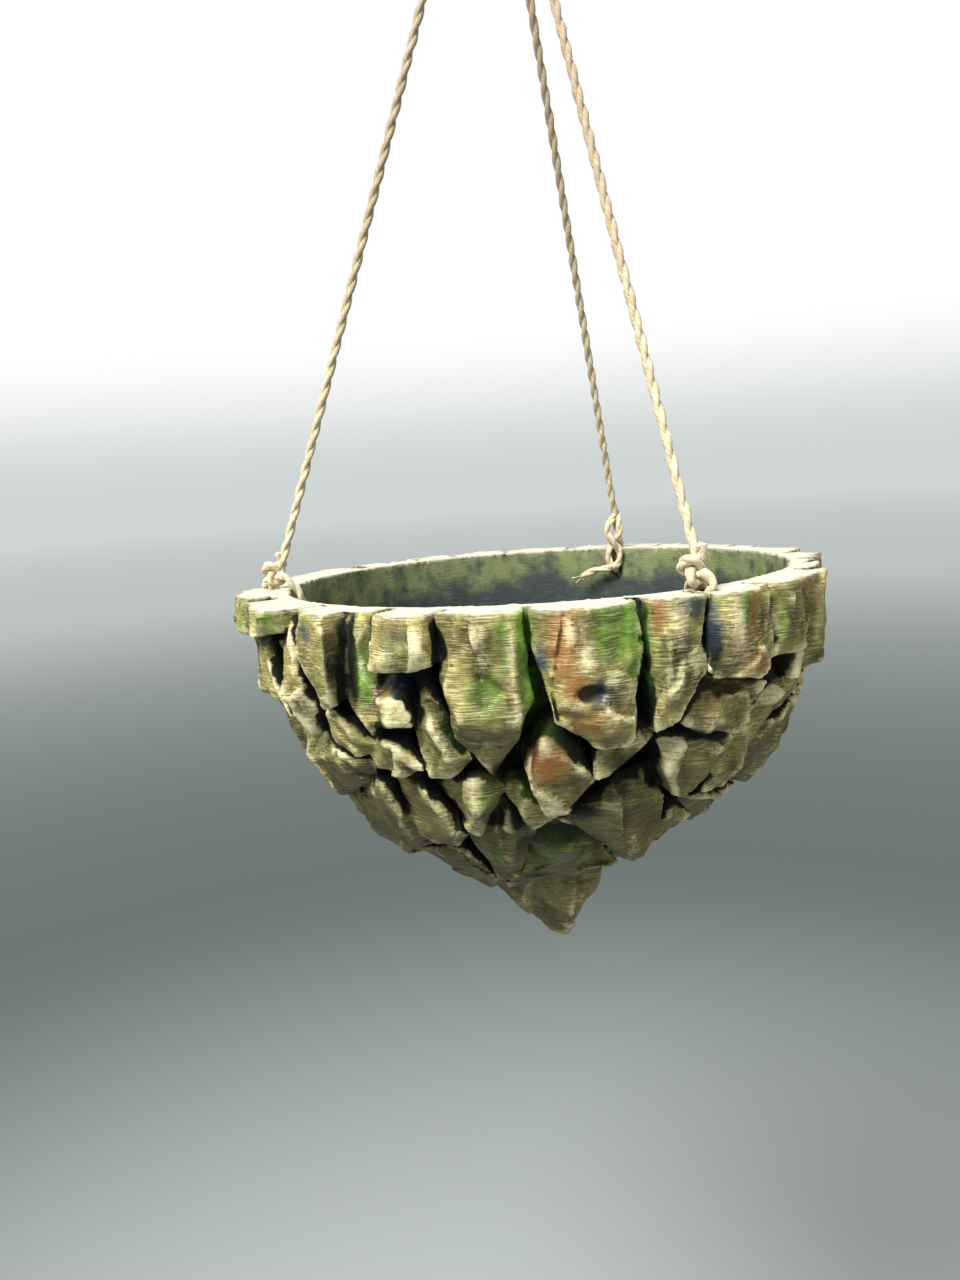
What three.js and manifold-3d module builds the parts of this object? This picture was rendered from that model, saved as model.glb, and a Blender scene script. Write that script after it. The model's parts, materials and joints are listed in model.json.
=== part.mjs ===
// Hanging planter: a printed bowl of weathered rock columns, slung from three twisted cords.
// Units are millimetres, +Z is up and +Y points to the back of the planter.
// The origin is the point of the hanging loop that rests on its hook.

import * as THREE from "three";
import { ConvexGeometry } from "three/addons/geometries/ConvexGeometry.js";
import { mergeVertices } from "three/addons/utils/BufferGeometryUtils.js";
import Module from "manifold-3d";

// Bowl sizes
const RIM_INNER_RADIUS = 78;
const WALL = 3.5;
const GROOVE_DEPTH = 7.5;
const BOWL_HEIGHT = 124;
const LOWER_GROOVE = 5;
const FLOOR_RADIUS = 44;
const TIP_OFFSET = 2.3;

// Cord holes through the rim, which slant from its flat top to the inner wall
const HOLE_DIAMETER = 4.5;
const HOLE_INSET = 6.2;
const HOLE_DROP = 8.6;
const HOLE_AZIMUTHS = { back: 66, left: 184, right: 300 };

// Cords and knots
const CORD_DIAMETER = 3;
const CORD_RISE = 235;
const KNOT_INSET = 4.2;
const KNOT_LIFT = 2.6;
const KNOT_TURNS = 2;
const GATHER_TURNS = 3;
const GATHER_LENGTH = 14;
const GATHER_RADIUS = 5.6;

// Hanging loop
const LOOP_HEIGHT = 32;
const LOOP_WIDTH = 19;
const LOOP_STRANDS = 3;

// Gaps between pieces that touch, and between the turns of a knot
const GAP = 0.3;
const TURN_GAP = 0.5;

// Levels that follow from the sizes above
const UPPER_PIVOT_Z = -LOOP_HEIGHT;
const LOWER_PIVOT_Z = UPPER_PIVOT_Z - GATHER_LENGTH;
const RIM_Z = LOWER_PIVOT_Z - CORD_RISE;
const FACE_RADIUS = RIM_INNER_RADIUS + WALL + GROOVE_DEPTH;
const WRAP_RADIUS = CORD_DIAMETER + TURN_GAP;
const WRAP_PITCH = CORD_DIAMETER + TURN_GAP;

// Outer taper of the bowl: depth below the rim in percent of the height, and share of the rim's radius
const TAPER = [
  [0, 1],
  [20, 0.98],
  [40, 0.845],
  [60, 0.645],
  [70, 0.49],
  [80, 0.295],
  [90, 0.135],
  [100, 0],
];

// The rocks of the front, from left to right. Corners are angles in degrees from +X and depths in percent of
// the bowl's height. The outline is what shows from outside, and the ridge lies on top of it. How far the
// outline's edge and the ridge's crest stand proud of the taper runs evenly from the rock's top to its foot,
// as shares of the groove depth.
const FRONT_ROCKS = [
  { outline: [[213, 0], [224, 0], [223, 4], [197, 7], [197, 4]],
    edge: [0.5, 0.6], ridge: [[218, 5], [221, 1]], crest: [0.95, 0.95] },
  { outline: [[196, 9], [209, 7], [216, 20], [218, 24], [196, 22]],
    edge: [-0.2, 0.2], ridge: [[210, 12], [214, 14]], crest: [0.1, 0.1] },
  { outline: [[219, 0], [223, 0], [227, 21], [225, 27], [218, 6]],
    edge: [-0.1, 0.4], ridge: [[225, 6], [226, 12], [223, 17]], crest: [0.35, 0.95] },
  { outline: [[204, 32], [221, 29], [230, 30], [235, 33], [232, 38], [206, 49], [203, 41]],
    edge: [-0.4, 0.2], ridge: [[229, 32], [231, 34], [213, 36], [213, 45]], crest: [0.45, 0.3] },
  { outline: [[207, 50], [230, 36], [236, 39], [240, 52], [212, 66], [208, 60]],
    edge: [-0.5, 0.4], ridge: [[236, 40], [237, 46], [236, 53]], crest: [0.3, 0.95] },
  { outline: [[227, 0], [234, 0], [235, 18], [232, 19], [227, 9]],
    edge: [0.1, 0.6], ridge: [[236, 4], [236, 14]], crest: [0.85, 1] },
  { outline: [[225, 22], [231, 20], [235, 23], [238, 29], [234, 31], [229, 28]],
    edge: [-0.35, 0.3], ridge: [[233, 22], [235, 26]], crest: [0.1, 0.6] },
  { outline: [[236, 0], [242, 0], [242, 18], [240, 25], [235, 17]],
    edge: [-0.4, 0.2], ridge: [[240, 6], [240, 14], [240, 23]], crest: [-0.1, 0.4] },
  { outline: [[245, 0], [253, 0], [254, 9], [250, 10], [244, 10]],
    edge: [0.1, 0.65], ridge: [[250, 0], [250, 6], [253, 6]], crest: [0.5, 1.2] },
  { outline: [[240, 13], [246, 13], [248, 22], [241, 23], [239, 19]],
    edge: [-0.65, 0.35], ridge: [[247, 18], [243, 18], [245, 22]], crest: [0.1, 0.7] },
  { outline: [[235, 26], [244, 25], [248, 32], [244, 34], [238, 33], [235, 30]],
    edge: [-0.5, 0.5], ridge: [[242, 28], [245, 29]], crest: [0.2, 0.8] },
  { outline: [[238, 37], [244, 35], [250, 45], [251, 50], [248, 53], [243, 53], [239, 51]],
    edge: [-0.5, 0.5], ridge: [[246, 39], [248, 44], [249, 49]], crest: [0.25, 0.95] },
  { outline: [[248, 12], [251, 11], [254, 21], [257, 30], [253, 34], [250, 34], [247, 23]],
    edge: [-0.8, 0.4], ridge: [[252, 23], [254, 29]], crest: [-0.4, 0.85] },
  { outline: [[248, 37], [255, 32], [261, 35], [262, 38], [255, 49], [253, 48]],
    edge: [-0.6, 0.45], ridge: [[257, 36], [257, 41]], crest: [0.05, 1] },
  { outline: [[250, 52], [261, 42], [266, 50], [261, 62], [258, 65], [254, 65]],
    edge: [-0.5, 0.55], ridge: [[261, 48], [260, 56]], crest: [-0.05, 1.05] },
  { outline: [[226, 62], [240, 57], [246, 56], [251, 66], [240, 74], [229, 71]],
    edge: [-0.4, 0], ridge: [[248, 58], [251, 66]], crest: [0.3, 0.5] },
  { outline: [[255, 0], [267, 0], [268, 17], [265, 26], [261, 32], [256, 25], [254, 10]],
    edge: [0, 0.5], ridge: [[262, 0], [262, 5], [266, 7], [266, 20], [258, 20], [262, 23]], crest: [0.6, 1] },
  { outline: [[262, 35], [266, 34], [272, 44], [267, 47], [262, 40]],
    edge: [-0.6, 0.5], ridge: [[265, 39]], crest: [0.35, 0.35] },
  { outline: [[266, 28], [269, 23], [272, 23], [276, 28], [278, 36], [273, 42], [270, 42]],
    edge: [-0.65, 0.8], ridge: [[270, 27], [268, 35], [272, 33], [276, 33]], crest: [0.2, 1.2] },
  { outline: [[269, 0], [284, 0], [285, 9], [283, 27], [278, 27], [272, 21], [269, 6]],
    edge: [-0.1, 0.7], ridge: [[275, 0], [276, 8], [279, 13], [282, 18], [273, 17], [279, 23]],
    crest: [0.8, 1.05] },
  { outline: [[279, 29], [285, 29], [288, 24], [289, 28], [281, 35], [279, 35]],
    edge: [-0.6, 0.4], ridge: [[284, 29]], crest: [0.2, 0.2] },
  { outline: [[273, 46], [283, 38], [291, 35], [295, 44], [296, 51], [293, 59], [289, 59]],
    edge: [-0.7, 0.65], ridge: [[284, 42], [287, 44], [287, 52]], crest: [-0.05, 1.15] },
  { outline: [[265, 53], [274, 49], [281, 54], [293, 66], [273, 67], [251, 72], [258, 66]],
    edge: [-1.15, -0.2], ridge: [[275, 58]], crest: [-0.45, -0.45] },
  { outline: [[288, 0], [296, 0], [295, 14], [291, 23], [288, 25], [287, 10]],
    edge: [0, 0.65], ridge: [[291, 0], [289, 7], [289, 15]], crest: [0.5, 1.1] },
  { outline: [[290, 28], [297, 27], [309, 32], [308, 35], [298, 43], [294, 41]],
    edge: [-0.35, 0.65], ridge: [[293, 30], [291, 35], [297, 36], [302, 33]], crest: [0.2, 0.95] },
  { outline: [[298, 0], [309, 0], [310, 14], [305, 17], [298, 16], [296, 14]],
    edge: [0.1, 0.6], ridge: [[301, 0], [299, 8], [302, 11]], crest: [0.55, 1.1] },
  { outline: [[298, 18], [313, 21], [305, 29], [297, 28], [294, 25]],
    edge: [-0.7, 0.4], ridge: [[301, 22], [300, 26]], crest: [-0.25, 0.75] },
  { outline: [[303, 48], [299, 47], [294, 52], [296, 55], [306, 52]],
    edge: [-0.6, 0.4], ridge: [[297, 50]], crest: [0.2, 0.2] },
  { outline: [[311, 0], [320, 0], [319, 14], [311, 14]],
    edge: [0, 0.35], ridge: [[314, 0], [313, 10]], crest: [0.25, 0.65] },
  { outline: [[318, 18], [329, 18], [328, 22], [308, 43], [302, 43], [311, 26]],
    edge: [-0.5, 0.5], ridge: [[316, 24], [313, 34]], crest: [0, 0.5] },
  { outline: [[320, 48], [305, 45], [300, 45], [318, 50]],
    edge: [0.2, -0.3], ridge: [[305, 46], [309, 48]], crest: [0.55, 0.55] },
  { outline: [[321, 0], [331, 0], [331, 12], [330, 19], [318, 20], [319, 11]],
    edge: [-0.05, 0.25], ridge: [[326, 8], [326, 16]], crest: [0.4, 0.4] },
  { outline: [[345, 28], [326, 30], [313, 35], [313, 42], [326, 46]],
    edge: [-0.25, 0.25], ridge: [[316, 34], [327, 40]], crest: [0.4, 0.1] },
  { outline: [[329, 30], [340, 29], [346, 40], [345, 50], [337, 52], [330, 48]],
    edge: [-0.25, 0.1], ridge: [[336, 38]], crest: [0.2, 0.2] },
  { outline: [[333, 0], [344, 0], [344, 20], [338, 24], [334, 20]],
    edge: [-0.4, -0.35], ridge: [[338, 8], [338, 18]], crest: [-0.1, -0.1] },
];

// Plainer rocks where the front and its mirrored back meet, and low on the right
const SIDE_ROCKS = [
  { outline: [[170, 0], [180, 0], [180, 5], [175, 7], [170, 4]],
    edge: [-0.25, 0.25], ridge: [[175, 0], [173, 4], [177, 4]], crest: [0.05, 0.6] },
  { outline: [[181, 0], [199, 0], [199, 7], [192, 9], [181, 6]],
    edge: [0.1, 0.55], ridge: [[190, 0], [186, 6], [194, 6]], crest: [0.4, 0.9] },
  { outline: [[170, 4], [182, 4], [182, 18], [178, 30], [174, 30], [170, 20]],
    edge: [-0.55, 0.15], ridge: [[177, 4], [173, 20], [177, 19]], crest: [0, 0.6] },
  { outline: [[183, 7], [196, 7], [196, 24], [191, 33], [187, 33], [183, 22]],
    edge: [-0.6, 0.1], ridge: [[189, 7], [187, 23], [192, 23]], crest: [-0.05, 0.55] },
  { outline: [[163, 26], [184, 26], [184, 40], [177, 48], [171, 48], [163, 36]],
    edge: [-0.65, 0.1], ridge: [[172, 26], [169, 37], [178, 39]], crest: [0, 0.65] },
  { outline: [[185, 24], [205, 24], [205, 37], [198, 50], [193, 50], [185, 40]],
    edge: [-0.75, 0], ridge: [[195, 24], [192, 39], [201, 38]], crest: [-0.2, 0.4] },
  { outline: [[164, 44], [184, 44], [184, 55], [176, 65], [170, 65], [164, 57]],
    edge: [-0.65, 0.1], ridge: [[174, 44], [169, 56], [179, 56]], crest: [0, 0.65] },
  { outline: [[185, 46], [206, 46], [206, 58], [199, 67], [193, 67], [185, 60]],
    edge: [-0.65, 0.1], ridge: [[195, 46], [190, 59], [200, 59]], crest: [0, 0.6] },
  { outline: [[164, 61], [184, 61], [184, 68], [177, 77], [171, 77], [164, 70]],
    edge: [-1.3, -0.65], ridge: [[174, 61], [169, 69], [179, 69]], crest: [-0.8, -0.2] },
  { outline: [[186, 60], [206, 60], [206, 67], [199, 76], [193, 76], [186, 68]],
    edge: [-1.3, -0.65], ridge: [[196, 60], [191, 68], [201, 68]], crest: [-0.8, -0.2] },
  { outline: [[291, 52], [312, 52], [312, 58], [304, 66], [298, 66], [291, 60]],
    edge: [-1.45, -0.85], ridge: [[301, 52], [296, 59], [306, 59]], crest: [-1.05, -0.5] },
  { outline: [[306, 54], [332, 54], [332, 58], [321, 66], [315, 66], [306, 60]],
    edge: [-1.55, -1], ridge: [[319, 54], [313, 59], [325, 59]], crest: [-1.25, -0.7] },
  { outline: [[318, 46], [338, 46], [338, 53], [331, 60], [325, 60], [318, 54]],
    edge: [-1.3, -0.8], ridge: [[328, 46], [323, 54], [333, 54]], crest: [-1.05, -0.5] },
  { outline: [[345, 0], [351, 0], [351, 15], [347, 22], [345, 17]],
    edge: [-0.85, -0.4], ridge: [[348, 0], [347, 16], [349, 16]], crest: [-0.55, -0.2] },
  { outline: [[338, 22], [352, 22], [352, 31], [348, 42], [344, 42], [338, 32]],
    edge: [-1.1, -0.5], ridge: [[343, 22], [343, 32], [349, 31]], crest: [-0.6, 0] },
  { outline: [[336, 38], [352, 38], [352, 47], [346, 53], [342, 53], [336, 48]],
    edge: [-0.8, -0.15], ridge: [[344, 38], [340, 48], [345, 47]], crest: [-0.25, 0.3] },
  { outline: [[338, 57], [372, 57], [372, 64], [356, 74], [348, 74], [338, 66]],
    edge: [-1.7, -1.1], ridge: [[355, 57], [347, 65], [363, 65]], crest: [-1.3, -0.75] },
  { outline: [[374, 56], [402, 56], [402, 66], [392, 73], [384, 73], [374, 65]],
    edge: [-1.45, -0.8], ridge: [[388, 56], [381, 65], [395, 65]], crest: [-0.95, -0.35] },
];

// The right flank repeats the rocks of the front that lie between two angles, turned and sunk by a share of
// the groove depth
const FLANK_FROM = 249;
const FLANK_TO = 297;
const FLANK_TURN = 99;
const FLANK_SINK = 0.55;

// Hollows in the rock faces: angle, depth, as shares of the groove depth the floor's stand and the radius,
// and how much taller than wide
const PITS = [
  [277, 16, 0.5, 0.6, 0.75],
  [243, 24, -0.35, 0.45, 0.7],
  [296, 29, 0.1, 0.55, 0.7],
  [262, 15, 0.45, 0.85, 1.3],
  [284, 13, 0.25, 0.4, 1.2],
];

// An angle on the front and its mirrored place on the back add up to this. Lengths on the back vary by a
// share, from rock to rock.
const MIRROR_SUM = 366;
const BACK_VARIATION = 0.07;
const VARIATION_STEP = 2.4;

const STONE = { color: 0x9a9270, roughness: 0.85, metalness: 0 };
const TWINE = { color: 0xd9c79f, roughness: 0.9, metalness: 0 };

const wasm = await Module();
wasm.setup();

function radians(degrees) {
  return THREE.MathUtils.degToRad(degrees);
}

function polar(degrees, radius, z) {
  return new THREE.Vector3(radius * Math.cos(radians(degrees)), radius * Math.sin(radians(degrees)), z);
}

// Radius of the mean rock face at a depth in percent of the bowl's height
function faceRadius(depth) {
  const index = Math.max(1, TAPER.findIndex(([level]) => level >= Math.min(depth, 100)));
  const [upper, upperShare] = TAPER[index - 1];
  const [lower, lowerShare] = TAPER[index];
  return FACE_RADIUS * THREE.MathUtils.mapLinear(depth, upper, lower, upperShare, lowerShare);
}

function depthToZ(depth) {
  return RIM_Z - (depth / 100) * BOWL_HEIGHT;
}

function toSolid(geometry) {
  const bare = geometry.clone();
  bare.deleteAttribute("normal");
  bare.deleteAttribute("uv");
  const merged = mergeVertices(bare, 1e-4);
  return new wasm.Manifold(
    new wasm.Mesh({
      numProp: 3,
      vertProperties: new Float32Array(merged.attributes.position.array),
      triVerts: new Uint32Array(merged.index.array),
    }),
  );
}

function toGeometry(solid) {
  const mesh = solid.getMesh();
  const geometry = new THREE.BufferGeometry();
  geometry.setAttribute("position", new THREE.BufferAttribute(mesh.vertProperties, 3));
  geometry.setIndex(new THREE.BufferAttribute(mesh.triVerts, 1));
  const flat = geometry.toNonIndexed();
  flat.computeVertexNormals();
  return flat;
}

function makePiece(name, geometry, finish) {
  const piece = new THREE.Mesh(geometry, new THREE.MeshStandardMaterial(finish));
  piece.name = name;
  return piece;
}

// One rock: the hull of its corners and of their roots in the core. Each is turned and lowered by a hair of
// its own, so no two rocks share a side or a ledge.
const ROOT_DEPTH = 9;
const CUT_MARGIN = 4;
const UNEVEN = 0.17;

function rockSolid(corners, index) {
  const turn = UNEVEN * Math.sin(index * VARIATION_STEP);
  const drop = UNEVEN * Math.cos(index * VARIATION_STEP);
  const points = [];
  for (const [angle, depth, stand] of corners) {
    const z = depth === 0 ? RIM_Z + CUT_MARGIN : depthToZ(depth + drop);
    const face = faceRadius(depth);
    const root = Math.max(face - GROOVE_DEPTH - ROOT_DEPTH, 1);
    points.push(polar(angle + turn, Math.max(face + stand * GROOVE_DEPTH, root + 1), z));
    points.push(polar(angle + turn, root, z));
  }
  return toSolid(new ConvexGeometry(points));
}

// The corners of a rock as angle, depth and stand
function rockCorners({ outline, edge, ridge, crest }) {
  const depths = outline.map(([, depth]) => depth);
  const top = Math.min(...depths);
  const foot = Math.max(...depths);
  const stood = ([angle, depth], [upper, lower]) => [
    angle,
    depth,
    THREE.MathUtils.mapLinear(depth, top, foot, upper, lower),
  ];
  return [...outline.map((corner) => stood(corner, edge)), ...ridge.map((corner) => stood(corner, crest))];
}

// The hidden back repeats the front, mirrored, with every rock a little longer or shorter
function backCorners(corners, index) {
  const stretch = 1 + BACK_VARIATION * Math.sin(index * VARIATION_STEP);
  const top = Math.min(...corners.map(([, depth]) => depth));
  return corners.map(([angle, depth, stand]) => [MIRROR_SUM - angle, top + (depth - top) * stretch, stand]);
}

function flankCorners(corners) {
  return corners.map(([angle, depth, stand]) => [angle + FLANK_TURN, depth, stand - FLANK_SINK]);
}

function onFlank(corners) {
  return corners.every(([angle]) => angle > FLANK_FROM && angle < FLANK_TO);
}

function pitSolid([angle, depth, stand, radius, tall]) {
  const pit = new THREE.IcosahedronGeometry(radius * GROOVE_DEPTH).rotateZ(radians(angle + depth));
  pit.scale(1, 1, tall);
  const middle = polar(angle, faceRadius(depth) + (stand + radius) * GROOVE_DEPTH, depthToZ(depth));
  return toSolid(pit.translate(middle.x, middle.y, middle.z));
}

// The lowest rock: an uneven pyramid that ends in the bowl's point. Each ring gives its depth, as shares of
// the groove depth how far it stands from the taper and how far it sits to the right of the axis, its sides
// and its turn.
const TIP_RINGS = [
  [64, -3.5, -0.4, 7, 10],
  [77, -1.25, -0.55, 6, 25],
  [87, -0.15, 0, 5, 5],
];
const TIP_UNEVEN = 0.16;

function tipRock() {
  const points = [new THREE.Vector3(TIP_OFFSET, 0, RIM_Z - BOWL_HEIGHT)];
  for (const [depth, stand, shift, sides, turn] of TIP_RINGS) {
    for (let side = 0; side < sides; side += 1) {
      const uneven = TIP_UNEVEN * Math.sin(side * VARIATION_STEP + depth);
      const radius = faceRadius(depth) + (stand + uneven) * GROOVE_DEPTH;
      const corner = polar(turn + (360 * side) / sides, radius, depthToZ(depth));
      points.push(corner.setX(corner.x + shift * GROOVE_DEPTH));
    }
  }
  return toSolid(new ConvexGeometry(points));
}

const LATHE_SIDES = 72;

// A solid of revolution about Z from a profile of [radius, z] that starts and ends on the axis
function revolve(profile, sides) {
  const points = profile.map(([radius, z]) => new THREE.Vector2(radius, z));
  return new THREE.LatheGeometry(points, sides).rotateX(Math.PI / 2);
}

// Depth, in percent, at which the hollow has narrowed to the flat floor
function floorDepth() {
  const share = (FLOOR_RADIUS + WALL + GROOVE_DEPTH) / FACE_RADIUS;
  const index = TAPER.findIndex(([, level]) => level < share);
  const [upper, upperShare] = TAPER[index - 1];
  const [lower, lowerShare] = TAPER[index];
  return THREE.MathUtils.mapLinear(share, upperShare, lowerShare, upper, lower);
}

// The core lies at the bottom of the grooves, which are deeper below the floor
const GROOVE_RAMP = 10;

function coreSolid() {
  const floor = floorDepth();
  const profile = [[0, RIM_Z + CUT_MARGIN]];
  profile.push([faceRadius(0) - GROOVE_DEPTH, RIM_Z + CUT_MARGIN]);
  for (const [depth] of TAPER) {
    const lower = LOWER_GROOVE * THREE.MathUtils.clamp((depth - floor) / GROOVE_RAMP, 0, 1);
    const radius = faceRadius(depth) - GROOVE_DEPTH - lower;
    if (radius > 0) {
      profile.push([radius, depthToZ(depth)]);
    }
  }
  const lowest = profile[profile.length - 1];
  profile.push([0, lowest[1] - lowest[0]]);
  return toSolid(revolve(profile.reverse(), LATHE_SIDES));
}

function hollowSolid() {
  const floor = floorDepth();
  const above = RIM_Z + 2 * CUT_MARGIN;
  const profile = [[0, depthToZ(floor)], [FLOOR_RADIUS, depthToZ(floor)]];
  for (const [depth] of [...TAPER].reverse()) {
    if (depth < floor) {
      profile.push([faceRadius(depth) - GROOVE_DEPTH - WALL, depthToZ(depth)]);
    }
  }
  profile.push([RIM_INNER_RADIUS, above], [0, above]);
  return toSolid(revolve(profile, LATHE_SIDES));
}

// A point beside one cord hole: outwards from the rim's inner edge, along the rim, and up from it
function rimPoint(azimuth, outwards, along, up) {
  const point = polar(azimuth, RIM_INNER_RADIUS + outwards, RIM_Z + up);
  return point.add(polar(azimuth + 90, along, 0));
}

const DRILL_SIDES = 16;

function holeSolid(azimuth) {
  const mouth = rimPoint(azimuth, HOLE_INSET, 0, 0);
  const outlet = rimPoint(azimuth, 0, 0, -HOLE_DROP);
  const direction = mouth.clone().sub(outlet);
  const drill = new THREE.CylinderGeometry(
    HOLE_DIAMETER / 2,
    HOLE_DIAMETER / 2,
    direction.length() + 4 * HOLE_DIAMETER,
    DRILL_SIDES,
  );
  const turn = new THREE.Quaternion().setFromUnitVectors(new THREE.Vector3(0, 1, 0), direction.normalize());
  drill.applyQuaternion(turn);
  const middle = mouth.add(outlet).multiplyScalar(0.5);
  drill.translate(middle.x, middle.y, middle.z);
  return toSolid(drill);
}

// The joined rocks without the pockets that they shut in between them
function outerSkin(solid) {
  return solid.decompose().reduce((largest, skin) => (skin.volume() > largest.volume() ? skin : largest));
}

function rockBowl() {
  const front = FRONT_ROCKS.map(rockCorners);
  const rocks = [...front, ...front.map(backCorners), ...front.filter(onFlank).map(flankCorners)];
  rocks.push(...SIDE_ROCKS.map(rockCorners));
  let bowl = coreSolid();
  rocks.forEach((corners, index) => {
    bowl = bowl.add(rockSolid(corners, index));
  });
  bowl = outerSkin(bowl.add(tipRock()));
  for (const [angle, ...pit] of PITS) {
    bowl = bowl.subtract(pitSolid([angle, ...pit]));
    bowl = bowl.subtract(pitSolid([MIRROR_SUM - angle, ...pit]));
  }
  const above = new THREE.BoxGeometry(4 * FACE_RADIUS, 4 * FACE_RADIUS, 4 * CUT_MARGIN);
  above.translate(0, 0, RIM_Z + 2 * CUT_MARGIN);
  bowl = bowl.subtract(toSolid(above));
  bowl = bowl.subtract(hollowSolid());
  for (const azimuth of Object.values(HOLE_AZIMUTHS)) {
    bowl = bowl.subtract(holeSolid(azimuth));
  }
  return makePiece("rock_bowl", toGeometry(bowl), STONE);
}

const CORD_SIDES = 8;
const TURN_SIDES = 6;
const TURN_STEPS = 24;

// A length of cord along a curve, with closed ends
function cordTube(curve, steps, sides = CORD_SIDES) {
  const section = new THREE.Shape();
  for (let side = 0; side < sides; side += 1) {
    const angle = (2 * Math.PI * side) / sides;
    const x = (CORD_DIAMETER / 2) * Math.cos(angle);
    const y = (CORD_DIAMETER / 2) * Math.sin(angle);
    if (side === 0) {
      section.moveTo(x, y);
    } else {
      section.lineTo(x, y);
    }
  }
  section.closePath();
  return new THREE.ExtrudeGeometry(section, { steps, extrudePath: curve, bevelEnabled: false });
}

// A helix round an axis, as a curve of its own
class WrapCurve extends THREE.Curve {
  constructor(base, axis, start, radius, turns) {
    super();
    this.base = base;
    this.axis = axis;
    this.start = start;
    this.side = new THREE.Vector3().crossVectors(start, axis);
    this.radius = radius;
    this.turns = turns;
  }

  getPoint(share, target = new THREE.Vector3()) {
    const angle = 2 * Math.PI * this.turns * share;
    target.copy(this.base);
    target.addScaledVector(this.axis, WRAP_PITCH * this.turns * share);
    target.addScaledVector(this.start, this.radius * Math.cos(angle));
    target.addScaledVector(this.side, this.radius * Math.sin(angle));
    return target;
  }
}

// The turns of one knot, with the least gap between them measured on points and printed
function woundCord(name, wrap) {
  const points = wrap.getPoints(TURN_STEPS * wrap.turns);
  let nearest = Infinity;
  points.forEach((point, index) => {
    for (const other of points.slice(index + TURN_STEPS / 2)) {
      nearest = Math.min(nearest, point.distanceTo(other));
    }
  });
  console.log(`${name}: least gap between its turns ${(nearest - CORD_DIAMETER).toFixed(2)} mm`);
  return makePiece(name, cordTube(wrap, TURN_STEPS * wrap.turns, TURN_SIDES), TWINE);
}

const LOWER_PIVOT = new THREE.Vector3(0, 0, LOWER_PIVOT_Z);
const UPPER_PIVOT = new THREE.Vector3(0, 0, UPPER_PIVOT_Z);

// How the cord runs from its knot through the hole and back, as outwards, along and up from the rim's edge
const HOLE_LOOP_ROUTE = [
  [HOLE_INSET - 0.8, 0, -0.7],
  [HOLE_INSET / 2, 0, 0.3 - HOLE_DROP / 2],
  [0, 0, -HOLE_DROP],
  [-2.2, -0.6, -HOLE_DROP - 2],
  [-4.1, -1.6, -HOLE_DROP - 0.6],
  [-3.9, -3.2, -5],
  [-2.9, -4.7, -0.8],
  [-1.2, -4.9, 1.7],
];
const HOLE_LOOP_STEPS = 26;

// The free ends of the rim knots, from where they leave the wrap
const KNOT_TAILS = {
  back: [
    [-3, 5, 6.6],
    [-4.4, 7.2, 3],
    [-5, 9, -1.5],
    [-5.4, 11.6, -5.5],
  ],
  left: [
    [-2.8, 4.6, 6.4],
    [-4, 7, 3],
    [-4.6, 8.5, -3],
    [-4.8, 9.5, -8],
  ],
  right: [
    [-1.8, 5.4, 7.4],
    [0.4, 8, 5.6],
    [2.8, 10, 3.2],
  ],
};
const TAIL_STEPS = 9;
const CORD_STEP = 3 * CORD_DIAMETER;

// How far the cord runs straight on where it joins the turns of a knot
const WRAP_START = 0.6 * CORD_DIAMETER;
const LOOP_LEAD = 0.35 * CORD_DIAMETER;
const LOOP_APPROACH = 0.8 * CORD_DIAMETER;
const TAIL_LEAD = 0.7 * CORD_DIAMETER;

function rimKnot(place, azimuth) {
  const knotFoot = rimPoint(azimuth, KNOT_INSET, 0, KNOT_LIFT);
  const upwards = LOWER_PIVOT.clone().sub(knotFoot).normalize();
  const cordTop = LOWER_PIVOT.clone().addScaledVector(upwards, -(GATHER_RADIUS + GAP));
  const cord = new THREE.LineCurve3(knotFoot, cordTop);
  const along = polar(azimuth + 90, 1, 0);
  const inwards = new THREE.Vector3().crossVectors(along, upwards).normalize().negate();
  const wrapBase = knotFoot.clone().addScaledVector(upwards, WRAP_START);
  const wrap = new WrapCurve(wrapBase, upwards, inwards, WRAP_RADIUS, KNOT_TURNS);
  const loopStart = knotFoot.clone().addScaledVector(upwards, -GAP);
  const loopLead = loopStart.clone().addScaledVector(upwards, -LOOP_LEAD);
  const loopEnd = wrap.getPoint(0).addScaledVector(wrap.getTangent(0), -GAP);
  const approach = loopEnd.clone().addScaledVector(wrap.getTangent(0), -LOOP_APPROACH);
  const loopPoints = HOLE_LOOP_ROUTE.map((step) => rimPoint(azimuth, ...step));
  const loop = new THREE.CatmullRomCurve3([loopStart, loopLead, ...loopPoints, approach, loopEnd]);
  const tailStart = wrap.getPoint(1).addScaledVector(wrap.getTangent(1), GAP);
  const tailLead = tailStart.clone().addScaledVector(wrap.getTangent(1), TAIL_LEAD);
  const tailPoints = KNOT_TAILS[place].map((step) => rimPoint(azimuth, ...step));
  const tail = new THREE.CatmullRomCurve3([tailStart, tailLead, ...tailPoints]);
  return [
    makePiece(`cord_${place}`, cordTube(cord, Math.round(cord.getLength() / CORD_STEP)), TWINE),
    woundCord(`rim_knot_${place}`, wrap),
    makePiece(`hole_loop_${place}`, cordTube(loop, HOLE_LOOP_STEPS), TWINE),
    makePiece(`knot_tail_${place}`, cordTube(tail, TAIL_STEPS), TWINE),
  ];
}

// The knot that gathers the cords: a tight round core, the turns round it and the three cut ends.
// Both ends of the core are round about the pivots, so that the cords and the loop swing over them.
const CORE_RINGS = 5;
const CORE_SIDES = 20;
const GATHER_ENDS = { left: 115, back: 65, right: 270 };
const GATHER_END_ROUTE = [
  [0, 2],
  [3.5, 1],
  [6, -4],
  [6.5, -11],
];

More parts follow.
